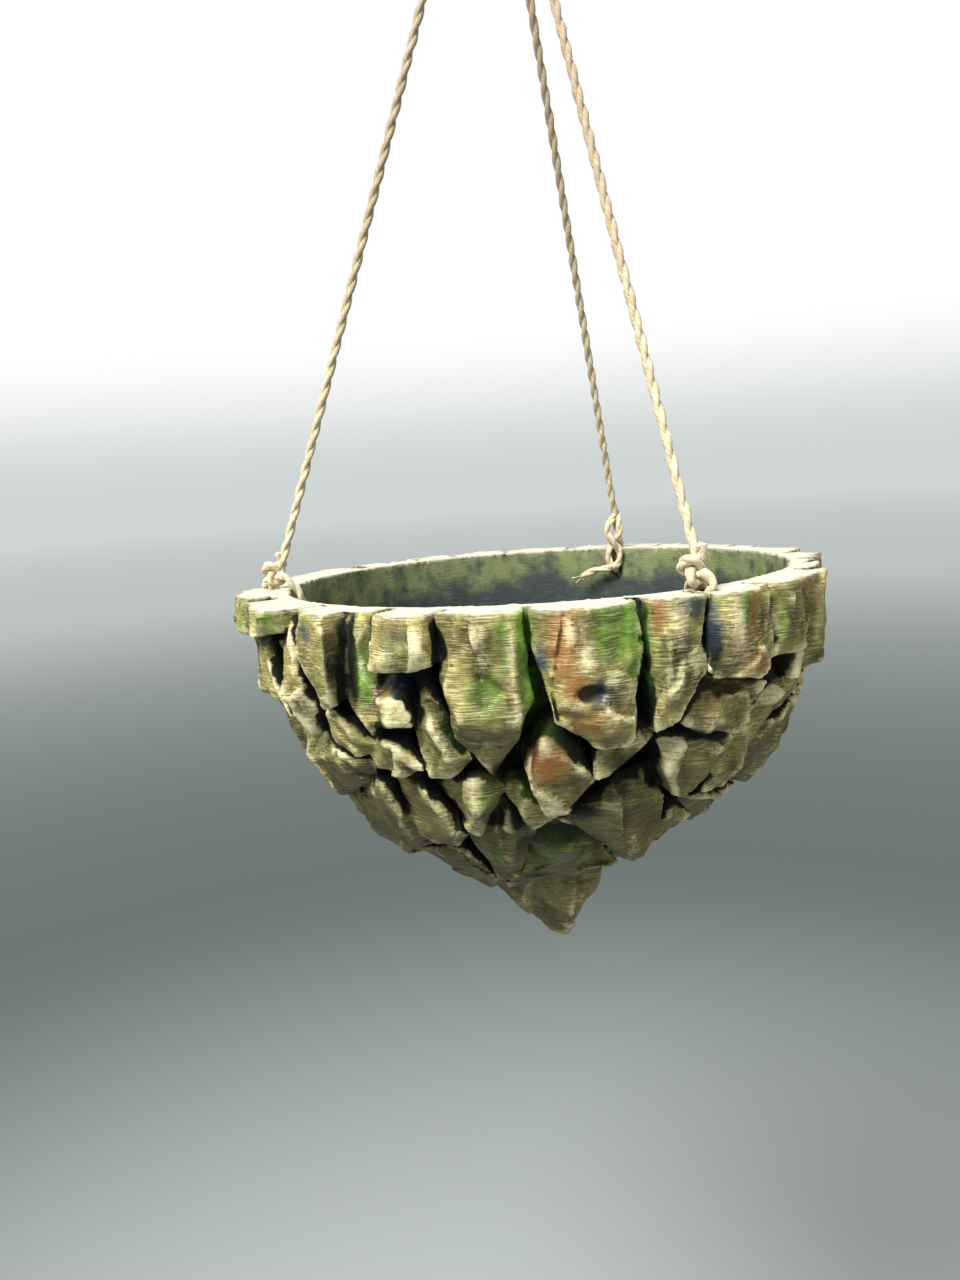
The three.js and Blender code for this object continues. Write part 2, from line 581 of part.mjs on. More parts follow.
function gatherCore() {
  const profile = [[0, LOWER_PIVOT_Z - GATHER_RADIUS]];
  for (const [centre, from] of [[LOWER_PIVOT_Z, -1], [UPPER_PIVOT_Z, 0]]) {
    for (let ring = 0; ring <= CORE_RINGS; ring += 1) {
      const angle = (Math.PI / 2) * (from + ring / CORE_RINGS);
      if (Math.abs(angle) < Math.PI / 2) {
        profile.push([GATHER_RADIUS * Math.cos(angle), centre + GATHER_RADIUS * Math.sin(angle)]);
      }
    }
  }
  profile.push([0, UPPER_PIVOT_Z + GATHER_RADIUS]);
  return makePiece("gather_knot_core", revolve(profile, CORE_SIDES), TWINE);
}

function gatherKnot() {
  const wrapRadius = GATHER_RADIUS + CORD_DIAMETER / 2 + TURN_GAP;
  const middle = (LOWER_PIVOT_Z + UPPER_PIVOT_Z) / 2;
  const base = new THREE.Vector3(0, 0, middle - (WRAP_PITCH * GATHER_TURNS) / 2);
  const up = new THREE.Vector3(0, 0, 1);
  const wrap = new WrapCurve(base, up, new THREE.Vector3(0, 1, 0), wrapRadius, GATHER_TURNS);
  const pieces = [gatherCore(), woundCord("gather_knot_wrap", wrap)];
  const reach = wrapRadius + CORD_DIAMETER + GAP;
  for (const [place, azimuth] of Object.entries(GATHER_ENDS)) {
    const points = GATHER_END_ROUTE.map(([out, rise]) => polar(azimuth, reach + out, middle + rise));
    const tail = new THREE.CatmullRomCurve3(points);
    pieces.push(makePiece(`gather_tail_${place}`, cordTube(tail, TAIL_STEPS), TWINE));
  }
  return pieces;
}

// The hanging loop: three strands side by side, doubled over the hook. Its outline is given in shares of
// its half width and of its height above the knot, and its feet stand on the knot's round end.
const LOOP_OUTLINE = [
  [0.92, 0.45],
  [1, 0.68],
  [0.72, 0.94],
];
const LOOP_FOOT = [0.76, 0.62];
const LOOP_FOOT_LEAD = 1.5;
const LOOP_STEPS = 30;

function loopStrand(index) {
  const y = (index - (LOOP_STRANDS - 1) / 2) * (CORD_DIAMETER + GAP);
  const half = LOOP_WIDTH / 2;
  const foot = new THREE.Vector3(GATHER_RADIUS * LOOP_FOOT[0], y, GATHER_RADIUS * LOOP_FOOT[1]);
  foot.setLength(GATHER_RADIUS + 2 * GAP);
  const lead = foot.clone().multiplyScalar(LOOP_FOOT_LEAD).setY(y);
  const rising = [foot.add(UPPER_PIVOT), lead.add(UPPER_PIVOT)];
  for (const [wide, high] of LOOP_OUTLINE) {
    rising.push(new THREE.Vector3(half * wide, y, UPPER_PIVOT_Z + LOOP_HEIGHT * high));
  }
  const falling = rising.map((point) => new THREE.Vector3(-point.x, point.y, point.z)).reverse();
  const top = new THREE.Vector3(0, y, CORD_DIAMETER / 2);
  const curve = new THREE.CatmullRomCurve3([...rising, top, ...falling]);
  return makePiece(`loop_strand_${index + 1}`, cordTube(curve, LOOP_STEPS), TWINE);
}

const planter = new THREE.Group();
planter.add(rockBowl());
for (const [place, azimuth] of Object.entries(HOLE_AZIMUTHS)) {
  planter.add(...rimKnot(place, azimuth));
}
planter.add(...gatherKnot());
for (let index = 0; index < LOOP_STRANDS; index += 1) {
  planter.add(loopStrand(index));
}

export default planter;
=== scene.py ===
"""Looks of a hanging planter: a painted rock bowl slung from three cords of two-ply twine.

Lengths are in metres, +Z is up, +Y points to the back and the origin is the point that hangs on a hook.
"""

import json
import logging
import math
from collections.abc import Sequence
from dataclasses import dataclass, field, fields
from enum import Enum

import bmesh
import bpy
import numpy as np
from mathutils import Matrix, Vector
from mathutils.bvhtree import BVHTree

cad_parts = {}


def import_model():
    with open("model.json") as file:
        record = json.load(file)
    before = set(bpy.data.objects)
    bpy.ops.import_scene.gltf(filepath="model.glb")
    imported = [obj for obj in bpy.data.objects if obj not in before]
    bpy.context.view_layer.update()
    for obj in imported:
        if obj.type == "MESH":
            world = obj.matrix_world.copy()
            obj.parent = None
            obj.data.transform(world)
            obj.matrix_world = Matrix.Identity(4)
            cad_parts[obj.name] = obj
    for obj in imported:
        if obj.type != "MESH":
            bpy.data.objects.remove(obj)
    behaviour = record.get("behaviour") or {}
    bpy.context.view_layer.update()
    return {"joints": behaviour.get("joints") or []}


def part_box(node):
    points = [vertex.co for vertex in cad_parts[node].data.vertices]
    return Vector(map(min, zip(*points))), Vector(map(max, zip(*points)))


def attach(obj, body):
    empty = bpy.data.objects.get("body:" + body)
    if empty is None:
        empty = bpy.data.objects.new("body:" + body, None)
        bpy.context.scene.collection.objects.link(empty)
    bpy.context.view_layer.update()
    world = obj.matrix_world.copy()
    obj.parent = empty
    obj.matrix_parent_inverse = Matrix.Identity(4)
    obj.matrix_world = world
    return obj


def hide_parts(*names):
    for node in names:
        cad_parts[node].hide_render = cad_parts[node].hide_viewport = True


LOG = logging.getLogger("hanging_planter")
MM = 0.001
PHOTO_LONG_SIDE = 1280
CORD_DIAMETER = 3 * MM
CORD_GAP = 0.3 * MM
RIM_INNER_RADIUS = 78 * MM
GATHER_CORE_RADIUS = 5.6 * MM

Colour = tuple[float, float, float, float]
Triple = tuple[float, float, float]
Socket = bpy.types.NodeSocket
Feed = Socket | float | int | bool | str | tuple


class Place(Enum):
    """Where a cord meets the rim."""

    BACK = "back"
    LEFT = "left"
    RIGHT = "right"


class Pigment(Enum):
    """Dabs on the stone: washes of colour, black that is dark wash and painted shade, dry cream, and bare
    spots that the black leaves out.
    """

    MOSS = "moss"
    RUST = "rust"
    TEAL = "teal"
    SOOT = "soot"
    CREAM = "cream"
    BARE = "bare"


@dataclass(frozen=True)
class Fade:
    """An eased change from start at low to end at high."""

    low: float
    high: float
    start: float = 0.0
    end: float = 1.0


@dataclass(frozen=True)
class Cloud:
    """A cloud of noise."""

    scale: float
    detail: float = 3.0
    roughness: float = 0.5


@dataclass(frozen=True)
class Patches:
    """A patchy mask: the scale of its noise, the values that it eases between and its strength."""

    scale: float
    low: float
    high: float
    strength: float = 1.0


@dataclass(frozen=True)
class RaggedEdge:
    """A broken edge of paint: how far a cloud roughens it, and from which mask the paint covers fully."""

    rough: float
    full: float
    least: float = 0.10
    feather: Fade = Fade(0.02, 0.25)


class NodePad:
    """Adds nodes to a tree and joins them, so that a finish reads as a short recipe."""

    def __init__(self, tree: bpy.types.NodeTree) -> None:
        """Take the tree that the nodes go into."""
        self.tree = tree

    def feed(self, socket: Socket, value: Feed) -> None:
        """Join a socket to another, or set its value.

        Args:
            socket: The input.
            value: What it takes.
        """
        if isinstance(value, bpy.types.NodeSocket):
            self.tree.links.new(value, socket)
        else:
            socket.default_value = value

    def add(
        self,
        kind: str,
        inputs: dict[str | int, Feed] | None = None,
        **settings: object,
    ) -> bpy.types.Node:
        """Add one node.

        Args:
            kind: The node's type.
            inputs: Values or sockets for its inputs, by name or place.
            settings: The node's own properties.

        Returns:
            The new node.
        """
        node = self.tree.nodes.new(kind)
        for name, value in settings.items():
            setattr(node, name, value)
        for key, value in (inputs or {}).items():
            self.feed(node.inputs[key], value)
        return node

    def math(self, operation: str, first: Feed, second: Feed = 0.0, clamp: bool = False) -> Socket:
        """Work out one sum of two values."""
        node = self.add("ShaderNodeMath", {0: first, 1: second}, operation=operation, use_clamp=clamp)
        return node.outputs[0]

    def times(self, first: Feed, second: Feed) -> Socket:
        """Multiply two values."""
        return self.math("MULTIPLY", first, second)

    def vector(
        self,
        operation: str,
        first: Feed,
        second: Feed | None = None,
        scale: Feed | None = None,
    ) -> Socket:
        """Work out one sum of vectors.

        Args:
            operation: The sum's kind.
            first: The first vector.
            second: The second vector, where the sum takes one.
            scale: The factor, where the sum takes one.

        Returns:
            The resulting vector.
        """
        node = self.add("ShaderNodeVectorMath", {0: first}, operation=operation)
        if second is not None:
            self.feed(node.inputs[1], second)
        if scale is not None:
            self.feed(node.inputs["Scale"], scale)
        return node.outputs[0]

    def ramp(self, value: Feed, fade: Fade) -> Socket:
        """Ease a value as a fade says."""
        node = self.add(
            "ShaderNodeMapRange",
            {0: value, 1: fade.low, 2: fade.high, 3: fade.start, 4: fade.end},
            interpolation_type="SMOOTHSTEP",
        )
        return node.outputs[0]

    def mix(self, share: Feed, under: Feed, over: Feed, blend: str = "MIX") -> Socket:
        """Lay one colour over another by a share."""
        node = self.add("ShaderNodeMix", {0: share, 6: under, 7: over}, data_type="RGBA", blend_type=blend)
        return node.outputs[2]

    def attribute(self, name: str) -> Socket:
        """Read a painted mask of the piece."""
        return self.add("ShaderNodeAttribute", attribute_name=name).outputs["Fac"]

    def noise(self, where: Feed, cloud: Cloud) -> Socket:
        """Add a cloud of noise over a place."""
        node = self.add(
            "ShaderNodeTexNoise",
            {"Vector": where, "Scale": cloud.scale, "Detail": cloud.detail, "Roughness": cloud.roughness},
        )
        return node.outputs["Fac"]

    def keep(self, geometry: Socket, name: str, value: Socket) -> Socket:
        """Store a value on each point of a geometry under a name."""
        node = self.add(
            "GeometryNodeStoreNamedAttribute",
            {"Geometry": geometry, "Name": name, "Value": value},
            data_type="FLOAT",
            domain="POINT",
        )
        return node.outputs[0]

    def dress(self, geometry: Socket, material: Socket) -> None:
        """End a Geometry Nodes tree with real instances and their material.

        Args:
            geometry: What the tree made.
            material: The tree's material input.
        """
        real = self.add("GeometryNodeRealizeInstances", {0: geometry})
        dressed = self.add("GeometryNodeSetMaterial", {0: real.outputs[0], "Material": material})
        self.add("NodeGroupOutput", {0: dressed.outputs[0]})


def group_with(name: str, kind: str, inputs: Sequence[tuple], outputs: Sequence[tuple]) -> bpy.types.NodeTree:
    """Make a node group with named sockets.

    Args:
        name: The group's name.
        kind: The tree's type.
        inputs: Name, socket type and default of each input.
        outputs: Name and socket type of each output.

    Returns:
        The empty group, with its sockets.
    """
    tree = bpy.data.node_groups.new(name, kind)
    for label, socket_type, *default in inputs:
        socket = tree.interface.new_socket(label, in_out="INPUT", socket_type=socket_type)
        if default:
            socket.default_value = default[0]
    for label, socket_type in outputs:
        tree.interface.new_socket(label, in_out="OUTPUT", socket_type=socket_type)
    return tree


def size_inputs(sizes: object) -> dict[str, float | int]:
    """Name a tree's inputs after the numeric sizes of a dataclass.

    Args:
        sizes: The dataclass, for its defaults, or one of its objects, for that object's values.

    Returns:
        Each input's name with its value.
    """
    numeric = [item.name for item in fields(sizes) if isinstance(item.default, int | float)]
    return {name.replace("_", " ").title(): getattr(sizes, name) for name in numeric}


def geometry_tree(name: str, sizes: type) -> bpy.types.NodeTree:
    """Make an empty Geometry Nodes tree with an input for each size and for the material.

    Args:
        name: The tree's name.
        sizes: The dataclass that holds the sizes.

    Returns:
        The tree, with its sockets.
    """
    inputs: list[tuple] = [("Geometry", "NodeSocketGeometry"), ("Material", "NodeSocketMaterial")]
    for label, value in size_inputs(sizes).items():
        inputs.append((label, "NodeSocketInt" if isinstance(value, int) else "NodeSocketFloat", value))
    return group_with(name, "GeometryNodeTree", inputs, [("Geometry", "NodeSocketGeometry")])


def add_tree(
    piece: bpy.types.Object,
    tree: bpy.types.NodeTree,
    sizes: object,
    material: bpy.types.Material,
) -> None:
    """Put a tree on a piece as a modifier, with its inputs set by the sockets' identifiers.

    Args:
        piece: The object that takes the modifier.
        tree: The tree.
        sizes: The object that holds the sizes.
        material: The finish.
    """
    modifier = piece.modifiers.new(tree.name, "NODES")
    modifier.node_group = tree
    values = {**size_inputs(sizes), "Material": material}
    for item in tree.interface.items_tree:
        if item.item_type == "SOCKET" and item.in_out == "INPUT" and item.name in values:
            modifier[item.identifier] = values[item.name]


def plain_mesh(piece: bpy.types.Object) -> bpy.types.Mesh:
    """Turn what a piece's modifiers make into a plain mesh."""
    graph = bpy.context.evaluated_depsgraph_get()
    return bpy.data.meshes.new_from_object(
        piece.evaluated_get(graph),
        preserve_all_data_layers=True,
        depsgraph=graph,
    )


def new_object(name: str, mesh: bpy.types.Mesh) -> bpy.types.Object:
    """Link a mesh into the scene as an object at the origin.

    Args:
        name: The object's name.
        mesh: Its mesh.

    Returns:
        The object.
    """
    piece = bpy.data.objects.new(name, mesh)
    bpy.context.scene.collection.objects.link(piece)
    return piece


def settle(piece: bpy.types.Object) -> None:
    """Bake a piece's modifiers into its mesh.

    Args:
        piece: The object, which keeps no modifier.
    """
    mesh = plain_mesh(piece)
    piece.modifiers.clear()
    piece.data = mesh


def empty_material(name: str) -> tuple[bpy.types.Material, NodePad]:
    """Make a material that has no nodes yet.

    Args:
        name: The material's name.

    Returns:
        The material, and the pad that adds its nodes.
    """
    material = bpy.data.materials.new(name)
    material.use_nodes = True
    material.node_tree.nodes.clear()
    return material, NodePad(material.node_tree)


def polar(azimuth: float, radius: float, z: float) -> Vector:
    """Point at an angle from +X in degrees, a radius and a level."""
    angle = math.radians(azimuth)
    return Vector((radius * math.cos(angle), radius * math.sin(angle), z))


def smooth_path(points: Sequence[Vector], step: float) -> list[Vector]:
    """Run a smooth curve through route points.

    Args:
        points: The route, as given.
        step: Spacing of the points on the curve.

    Returns:
        Points along the curve.
    """
    ends = [2 * points[0] - points[1], *points, 2 * points[-1] - points[-2]]
    path: list[Vector] = []
    for before, start, end, after in zip(ends, ends[1:], ends[2:], ends[3:]):
        count = max(2, round((end - start).length / step))
        for index in range(count):
            share = index / count
            path.append(
                0.5
                * (
                    2 * start
                    + (end - before) * share
                    + (2 * before - 5 * start + 4 * end - after) * share**2
                    + (3 * start - before - 3 * end + after) * share**3
                )
            )
    path.append(points[-1].copy())
    return path


def mottle_group() -> bpy.types.NodeTree:
    """Build the patchy mask that stone paint and twine share.

    Returns:
        The shader group.
    """
    tree = group_with(
        "mottle",
        "ShaderNodeTree",
        [
            ("Place", "NodeSocketVector"),
            ("Scale", "NodeSocketFloat", 60.0),
            ("Low", "NodeSocketFloat", 0.4),
            ("High", "NodeSocketFloat", 0.6),
        ],
        [("Mask", "NodeSocketFloat")],
    )
    pad = NodePad(tree)
    given = pad.add("NodeGroupInput").outputs
    cloud = pad.add(
        "ShaderNodeTexNoise",
        {"Vector": given["Place"], "Scale": given["Scale"], "Detail": 5.0, "Roughness": 0.6},
    )
    eased = pad.add(
        "ShaderNodeMapRange",
        {0: cloud.outputs["Fac"], 1: given["Low"], 2: given["High"]},
        interpolation_type="SMOOTHSTEP",
    )
    pad.add("NodeGroupOutput", {"Mask": eased.outputs[0]})
    return tree


def streak_group() -> bpy.types.NodeTree:
    """Build the fine, slightly wavy lines that run along a print layer or a fibre.

    Returns:
        The shader group.
    """
    tree = group_with(
        "streaks",
        "ShaderNodeTree",
        [
            ("Place", "NodeSocketVector"),
            ("Stretch", "NodeSocketVector", (1.0, 1.0, 1.0)),
            ("Waves", "NodeSocketFloat", 0.0),
            ("Wave Scale", "NodeSocketFloat", 60.0),
        ],
        [("Lines", "NodeSocketFloat")],
    )
    pad = NodePad(tree)
    given = pad.add("NodeGroupInput").outputs
    cloud = pad.add(
        "ShaderNodeTexNoise",
        {"Vector": given["Place"], "Scale": given["Wave Scale"], "Detail": 1.0},
    )
    centred = pad.vector("SUBTRACT", cloud.outputs["Color"], (0.5, 0.5, 0.5))
    waved = pad.vector("ADD", given["Place"], pad.vector("SCALE", centred, scale=given["Waves"]))
    stretched = pad.vector("MULTIPLY", waved, given["Stretch"])
    pad.add("NodeGroupOutput", {"Lines": pad.noise(stretched, Cloud(1.0, 2.0, 0.55))})
    return tree


@dataclass
class SharedEffects:
    """Shader groups that more than one finish uses."""

    mottle: bpy.types.NodeTree = field(default_factory=mottle_group)
    streaks: bpy.types.NodeTree = field(default_factory=streak_group)

    def patches(self, pad: NodePad, place: Feed, kind: Patches) -> Socket:
        """Place the patchy mask in a material with its own values."""
        node = pad.add(
            "ShaderNodeGroup",
            {"Place": place, "Scale": kind.scale, "Low": kind.low, "High": kind.high},
            node_tree=self.mottle,
        )
        return pad.times(node.outputs["Mask"], kind.strength)

    def lines(self, pad: NodePad, place: Feed, stretch: Triple, waves: float = 0.0) -> Socket:
        """Place the fine lines in a material with their own stretch and waves."""
        node = pad.add(
            "ShaderNodeGroup",
            {"Place": place, "Stretch": stretch, "Waves": waves},
            node_tree=self.streaks,
        )
        return node.outputs["Lines"]


@dataclass(frozen=True)
class TwineFinish:
    """Natural cotton twine: cream fibres with tan ones between, and painted shade that browns it towards the
    top.
    """

    pale: Colour = (0.79, 0.71, 0.49, 1.0)
    tan: Colour = (0.49, 0.40, 0.23, 1.0)
    # brown of the painted shade towards the top
    brown: Colour = (0.20, 0.130, 0.068, 1.0)
    browning: Fade = Fade(-0.28, -0.14, 0.0, 0.68)
    roughness: float = 0.85
    sheen: float = 0.25
    fibre_stretch: Triple = (9.0, 260.0, 3.0)
    fibre_twist: float = 150.0
    fibre_tones: Fade = Fade(0.40, 0.66)
    tan_patches: Patches = Patches(260.0, 0.38, 0.66, 0.35)
    bump: float = 0.00012
    bump_strength: float = 0.9

    def material(self, effects: SharedEffects) -> bpy.types.Material:
        """Build the material.

        Args:
            effects: The shared shader groups.

        Returns:
            A material that reads the twine's own along, around and ply attributes.
        """
        material, pad = empty_material("twine")
        place = pad.add("ShaderNodeTexCoord").outputs["Object"]
        along = pad.attribute("along")
        wound = pad.math("ADD", pad.attribute("around"), pad.times(along, self.fibre_twist))
        fibre_place = pad.add("ShaderNodeCombineXYZ", {0: wound, 1: along, 2: pad.attribute("ply")})
        fibres = effects.lines(pad, fibre_place.outputs[0], self.fibre_stretch)
        colour = pad.mix(pad.ramp(fibres, self.fibre_tones), self.tan, self.pale)
        colour = pad.mix(effects.patches(pad, place, self.tan_patches), colour, self.tan)
        level = pad.add("ShaderNodeSeparateXYZ", {0: place}).outputs["Z"]
        # painted shade: the twine darkens towards the top
        colour = pad.mix(pad.ramp(level, self.browning), colour, self.brown)
        bump = pad.add(
            "ShaderNodeBump",
            {"Distance": self.bump, "Strength": self.bump_strength, "Height": fibres},
        )
        shader = pad.add(
            "ShaderNodeBsdfPrincipled",
            {
                "Base Color": colour,
                "Roughness": self.roughness,
                "Sheen Weight": self.sheen,
                "Normal": bump.outputs[0],
            },
        )
        pad.add("ShaderNodeOutputMaterial", {"Surface": shader.outputs[0]})
        return material


@dataclass(frozen=True)
class StoneGround:
    """What each coat of the stone paint works with: the node pad and the patterns of the stone."""

    pad: NodePad
    effects: SharedEffects
    place: Socket
    lines: Socket
    grain: Socket

    def patches(self, kind: Patches) -> Socket:
        """Lay a patchy mask over the stone."""
        return self.effects.patches(self.pad, self.place, kind)

    def layered(self, cloud: Socket, strength: float = 1.0) -> Socket:
        """Break a cloud up along the print layers."""
        streaks = self.pad.times(self.pad.math("SUBTRACT", self.lines, 0.5), strength)
        return self.pad.math("ADD", cloud, streaks)

    def ragged(self, mask: Socket, cloud: Socket, edge: RaggedEdge) -> Socket:
        """Break up the edge of a mask with a cloud.

        Args:
            mask: Where the paint is.
            cloud: What breaks up its edge.
            edge: How the edge breaks up.

        Returns:
            The mask with its new edge.
        """
        shift = self.pad.times(self.pad.math("SUBTRACT", cloud, 0.5), edge.rough)
        broken = self.pad.ramp(self.pad.math("ADD", mask, shift), Fade(edge.least, edge.full))
        return self.pad.times(broken, self.pad.ramp(mask, edge.feather))


@dataclass(frozen=True)
class StonePaint:
    """Weathered stone paint: washes over a tan base, grooves blackened by dark wash and painted shade,
    painted shade on the undersides, and dry brush on the edges with a painted highlight on the open faces.
    """

    base_dark: Colour = (0.070, 0.062, 0.017, 1.0)
    base_light: Colour = (0.390, 0.345, 0.110, 1.0)
    clay: Colour = (0.250, 0.165, 0.070, 1.0)
    umber: Colour = (0.062, 0.054, 0.020, 1.0)
    olive: Colour = (0.085, 0.100, 0.020, 1.0)
    # painted shade colour of the undersides
    mauve: Colour = (0.092, 0.076, 0.046, 1.0)
    # near-black of the grooves, standing for dark wash and painted shade
    groove: Colour = (0.004, 0.005, 0.002, 1.0)
    cream: Colour = (0.760, 0.680, 0.390, 1.0)
    rim: Colour = (0.505, 0.488, 0.372, 1.0)
    moss_deep: Colour = (0.058, 0.118, 0.014, 1.0)
    moss_bright: Colour = (0.150, 0.345, 0.026, 1.0)
    rust: Colour = (0.255, 0.108, 0.026, 1.0)
    teal: Colour = (0.022, 0.046, 0.062, 1.0)
    slate: Colour = (0.032, 0.043, 0.045, 1.0)
    lichen: Colour = (0.172, 0.205, 0.082, 1.0)
    roughness: Fade = Fade(0.2, 0.8, 0.56, 0.80)
    gloss: float = 0.25
    layer_stretch: Triple = (210.0, 210.0, 3900.0)
    layer_waves: float = 0.0016
    layer_bump: float = 0.00030
    layer_bump_strength: float = 0.8
    grain: Cloud = Cloud(850.0, 4.0, 0.65)
    grain_bump: float = 0.00040
    grain_bump_strength: float = 0.6
    tan_patches: Patches = Patches(95.0, 0.34, 0.64)
    olive_patches: Patches = Patches(60.0, 0.46, 0.66, 0.55)
    clay_patches: Patches = Patches(72.0, 0.48, 0.68, 0.5)
    umber_patches: Patches = Patches(88.0, 0.50, 0.70, 0.55)
    low_patches: Patches = Patches(45.0, 0.40, 0.65)
    low_browning: Fade = Fade(0.0, 1.0, 0.40, 0.84)
    under_cover: float = 0.62
    layer_shade: Fade = Fade(0.32, 0.68, 0.62, 1.32)
    grain_shade: Fade = Fade(0.30, 0.70, 0.80, 1.16)
    moss_patches: Patches = Patches(150.0, 0.40, 0.60)
    moss_cloud: Cloud = Cloud(170.0, 4.0, 0.6)
    rust_cloud: Cloud = Cloud(210.0, 4.0, 0.6)
    teal_cloud: Cloud = Cloud(250.0, 4.0, 0.6)
    wash_edge: RaggedEdge = RaggedEdge(1.2, 0.74)
    wash_cover: float = 0.9
    brush_patches: Patches = Patches(170.0, 0.32, 0.60)
    crest_wear: Fade = Fade(0.0, 1.0, 0.75, 1.1)
    crest_edge: RaggedEdge = RaggedEdge(0.8, 1.05)
    caught_layers: Fade = Fade(0.48, 0.70)
    caught_patches: Fade = Fade(0.1, 1.0, 0.0, 0.62)
    cream_streaks: float = 1.6
    cream_edge: RaggedEdge = RaggedEdge(0.9, 1.0)
    cream_cover: float = 0.85
    small_pits: Patches = Patches(330.0, 0.66, 0.72, 0.7)
    soot_edge: RaggedEdge = RaggedEdge(0.6, 0.62)
    grown_patches: Patches = Patches(120.0, 0.38, 0.56, 0.75)
    lichen_cloud: Cloud = Cloud(55.0, 5.0, 0.6)
    lichen_spread: float = 2.2
    lichen_reach: Fade = Fade(0.15, 0.95)
    lichen_patches: Patches = Patches(150.0, 0.25, 0.60)
    wall_streaks: Fade = Fade(0.5, 0.75, 0.0, 0.16)
    rim_patches: Patches = Patches(170.0, 0.25, 0.5)
    rim_wear: Fade = Fade(0.0, 1.0, 0.6, 1.0)

    def material(self, effects: SharedEffects) -> bpy.types.Material:
        """Build the material.

        Args:
            effects: The shared shader groups.

        Returns:
            A material that reads the bowl's painted masks and Object coordinates.
        """
        material, pad = empty_material("painted_rock")
        place = pad.add("ShaderNodeTexCoord").outputs["Object"]
        lines = effects.lines(pad, place, self.layer_stretch, self.layer_waves)
        grain = pad.noise(place, self.grain)
        ground = StoneGround(pad, effects, place, lines, grain)
        colour = self._stone(ground)
        for coat in (self._streaks, self._washes, self._dry_brush, self._soot, self._lining):
            colour = coat(ground, colour)
        layers = pad.add(
            "ShaderNodeBump",
            {"Distance": self.layer_bump, "Strength": self.layer_bump_strength, "Height": lines},
        )
        bump = pad.add(
            "ShaderNodeBump",
            {
                "Distance": self.grain_bump,
                "Strength": self.grain_bump_strength,
                "Height": grain,
                "Normal": layers.outputs[0],
            },
        )
        shader = pad.add(
            "ShaderNodeBsdfPrincipled",
            {
                "Base Color": colour,
                "Roughness": pad.ramp(grain, self.roughness),
                "Specular IOR Level": self.gloss,
                "Normal": bump.outputs[0],
            },
        )
        pad.add("ShaderNodeOutputMaterial", {"Surface": shader.outputs[0]})
        return material

    def _stone(self, ground: StoneGround) -> Socket:
        """Mix the tan base, browner towards the point, with painted shade greying the undersides.

        Args:
            ground: The pad and the patterns.

        Returns:
            The stone's colour.
        """
        pad = ground.pad
        colour = pad.mix(ground.patches(self.tan_patches), self.base_dark, self.base_light)
        for patches, tone in (
            (self.olive_patches, self.olive),
            (self.clay_patches, self.clay),
            (self.umber_patches, self.umber),
        ):
            colour = pad.mix(ground.patches(patches), colour, tone)
        brown = pad.ramp(ground.patches(self.low_patches), self.low_browning)
        colour = pad.mix(pad.times(brown, pad.attribute("low")), colour, self.umber)
        # painted shade: the faces that look down are greyed
        return pad.mix(pad.times(pad.attribute("under"), self.under_cover), colour, self.mauve)

    def _streaks(self, ground: StoneGround, colour: Socket) -> Socket:
        """Darken and lighten the stone along the print layers and by its grain.

        Args:
            ground: The pad and the patterns.
            colour: What lies under this coat.

        Returns:
            The colour with this coat.
        """
        pad = ground.pad
        shade = pad.times(pad.ramp(ground.lines, self.layer_shade), pad.ramp(ground.grain, self.grain_shade))
        grey = pad.add("ShaderNodeCombineXYZ", {0: shade, 1: shade, 2: shade}).outputs[0]
        return pad.mix(1.0, colour, grey, "MULTIPLY")

    def _washes(self, ground: StoneGround, colour: Socket) -> Socket:
        """Lay the moss, rust and teal dabs over the stone, broken up by the layers.

        Args:
            ground: The pad and the patterns.
            colour: What lies under this coat.

        Returns:
            The colour with this coat.
        """
        pad = ground.pad
        moss = pad.mix(ground.patches(self.moss_patches), self.moss_deep, self.moss_bright)
        for pigment, tone, cloud in (
            (Pigment.MOSS, moss, self.moss_cloud),
            (Pigment.RUST, self.rust, self.rust_cloud),
            (Pigment.TEAL, self.teal, self.teal_cloud),
        ):
            broken = ground.layered(pad.noise(ground.place, cloud))
            mask = ground.ragged(pad.attribute(pigment.value), broken, self.wash_edge)
            colour = pad.mix(pad.times(mask, self.wash_cover), colour, tone)
        return colour

    def _dry_brush(self, ground: StoneGround, colour: Socket) -> Socket:
        """Catch the edges and the cream dabs with a nearly dry brush, and lighten the open faces along the
        layers with dry brush and a painted highlight that leaves out the faces that look down.

        Args:
            ground: The pad and the patterns.
            colour: What lies under this coat.

        Returns:
            The colour with this coat.
        """
        pad = ground.pad
        patchy = ground.patches(self.brush_patches)
        worn = pad.times(pad.attribute("crest"), pad.ramp(patchy, self.crest_wear))
        edge = ground.ragged(worn, ground.layered(ground.grain), self.crest_edge)
        # dry brush with a painted highlight: open faces that don't look down catch cream along the layers
        top_lit_brushing = pad.times(pad.ramp(ground.lines, self.caught_layers), pad.attribute("brushed"))
        top_lit_brushing = pad.times(top_lit_brushing, pad.ramp(patchy, self.caught_patches))
        streaked = ground.layered(ground.grain, self.cream_streaks)
        laid = ground.ragged(pad.attribute(Pigment.CREAM.value), streaked, self.cream_edge)
        edge = pad.math("MAXIMUM", edge, pad.times(laid, self.cream_cover))
        return pad.mix(pad.math("MAXIMUM", edge, top_lit_brushing, clamp=True), colour, self.cream)

    def _soot(self, ground: StoneGround, colour: Socket) -> Socket:
        """Run black wash with painted shade into the grooves and the dark dabs, green where moss grows, and
        speckle the faces with small pits.

        Args:
            ground: The pad and the patterns.
            colour: What lies under this coat.

        Returns:
            The colour with this coat.
        """
        pad = ground.pad
        pits = ground.patches(self.small_pits)
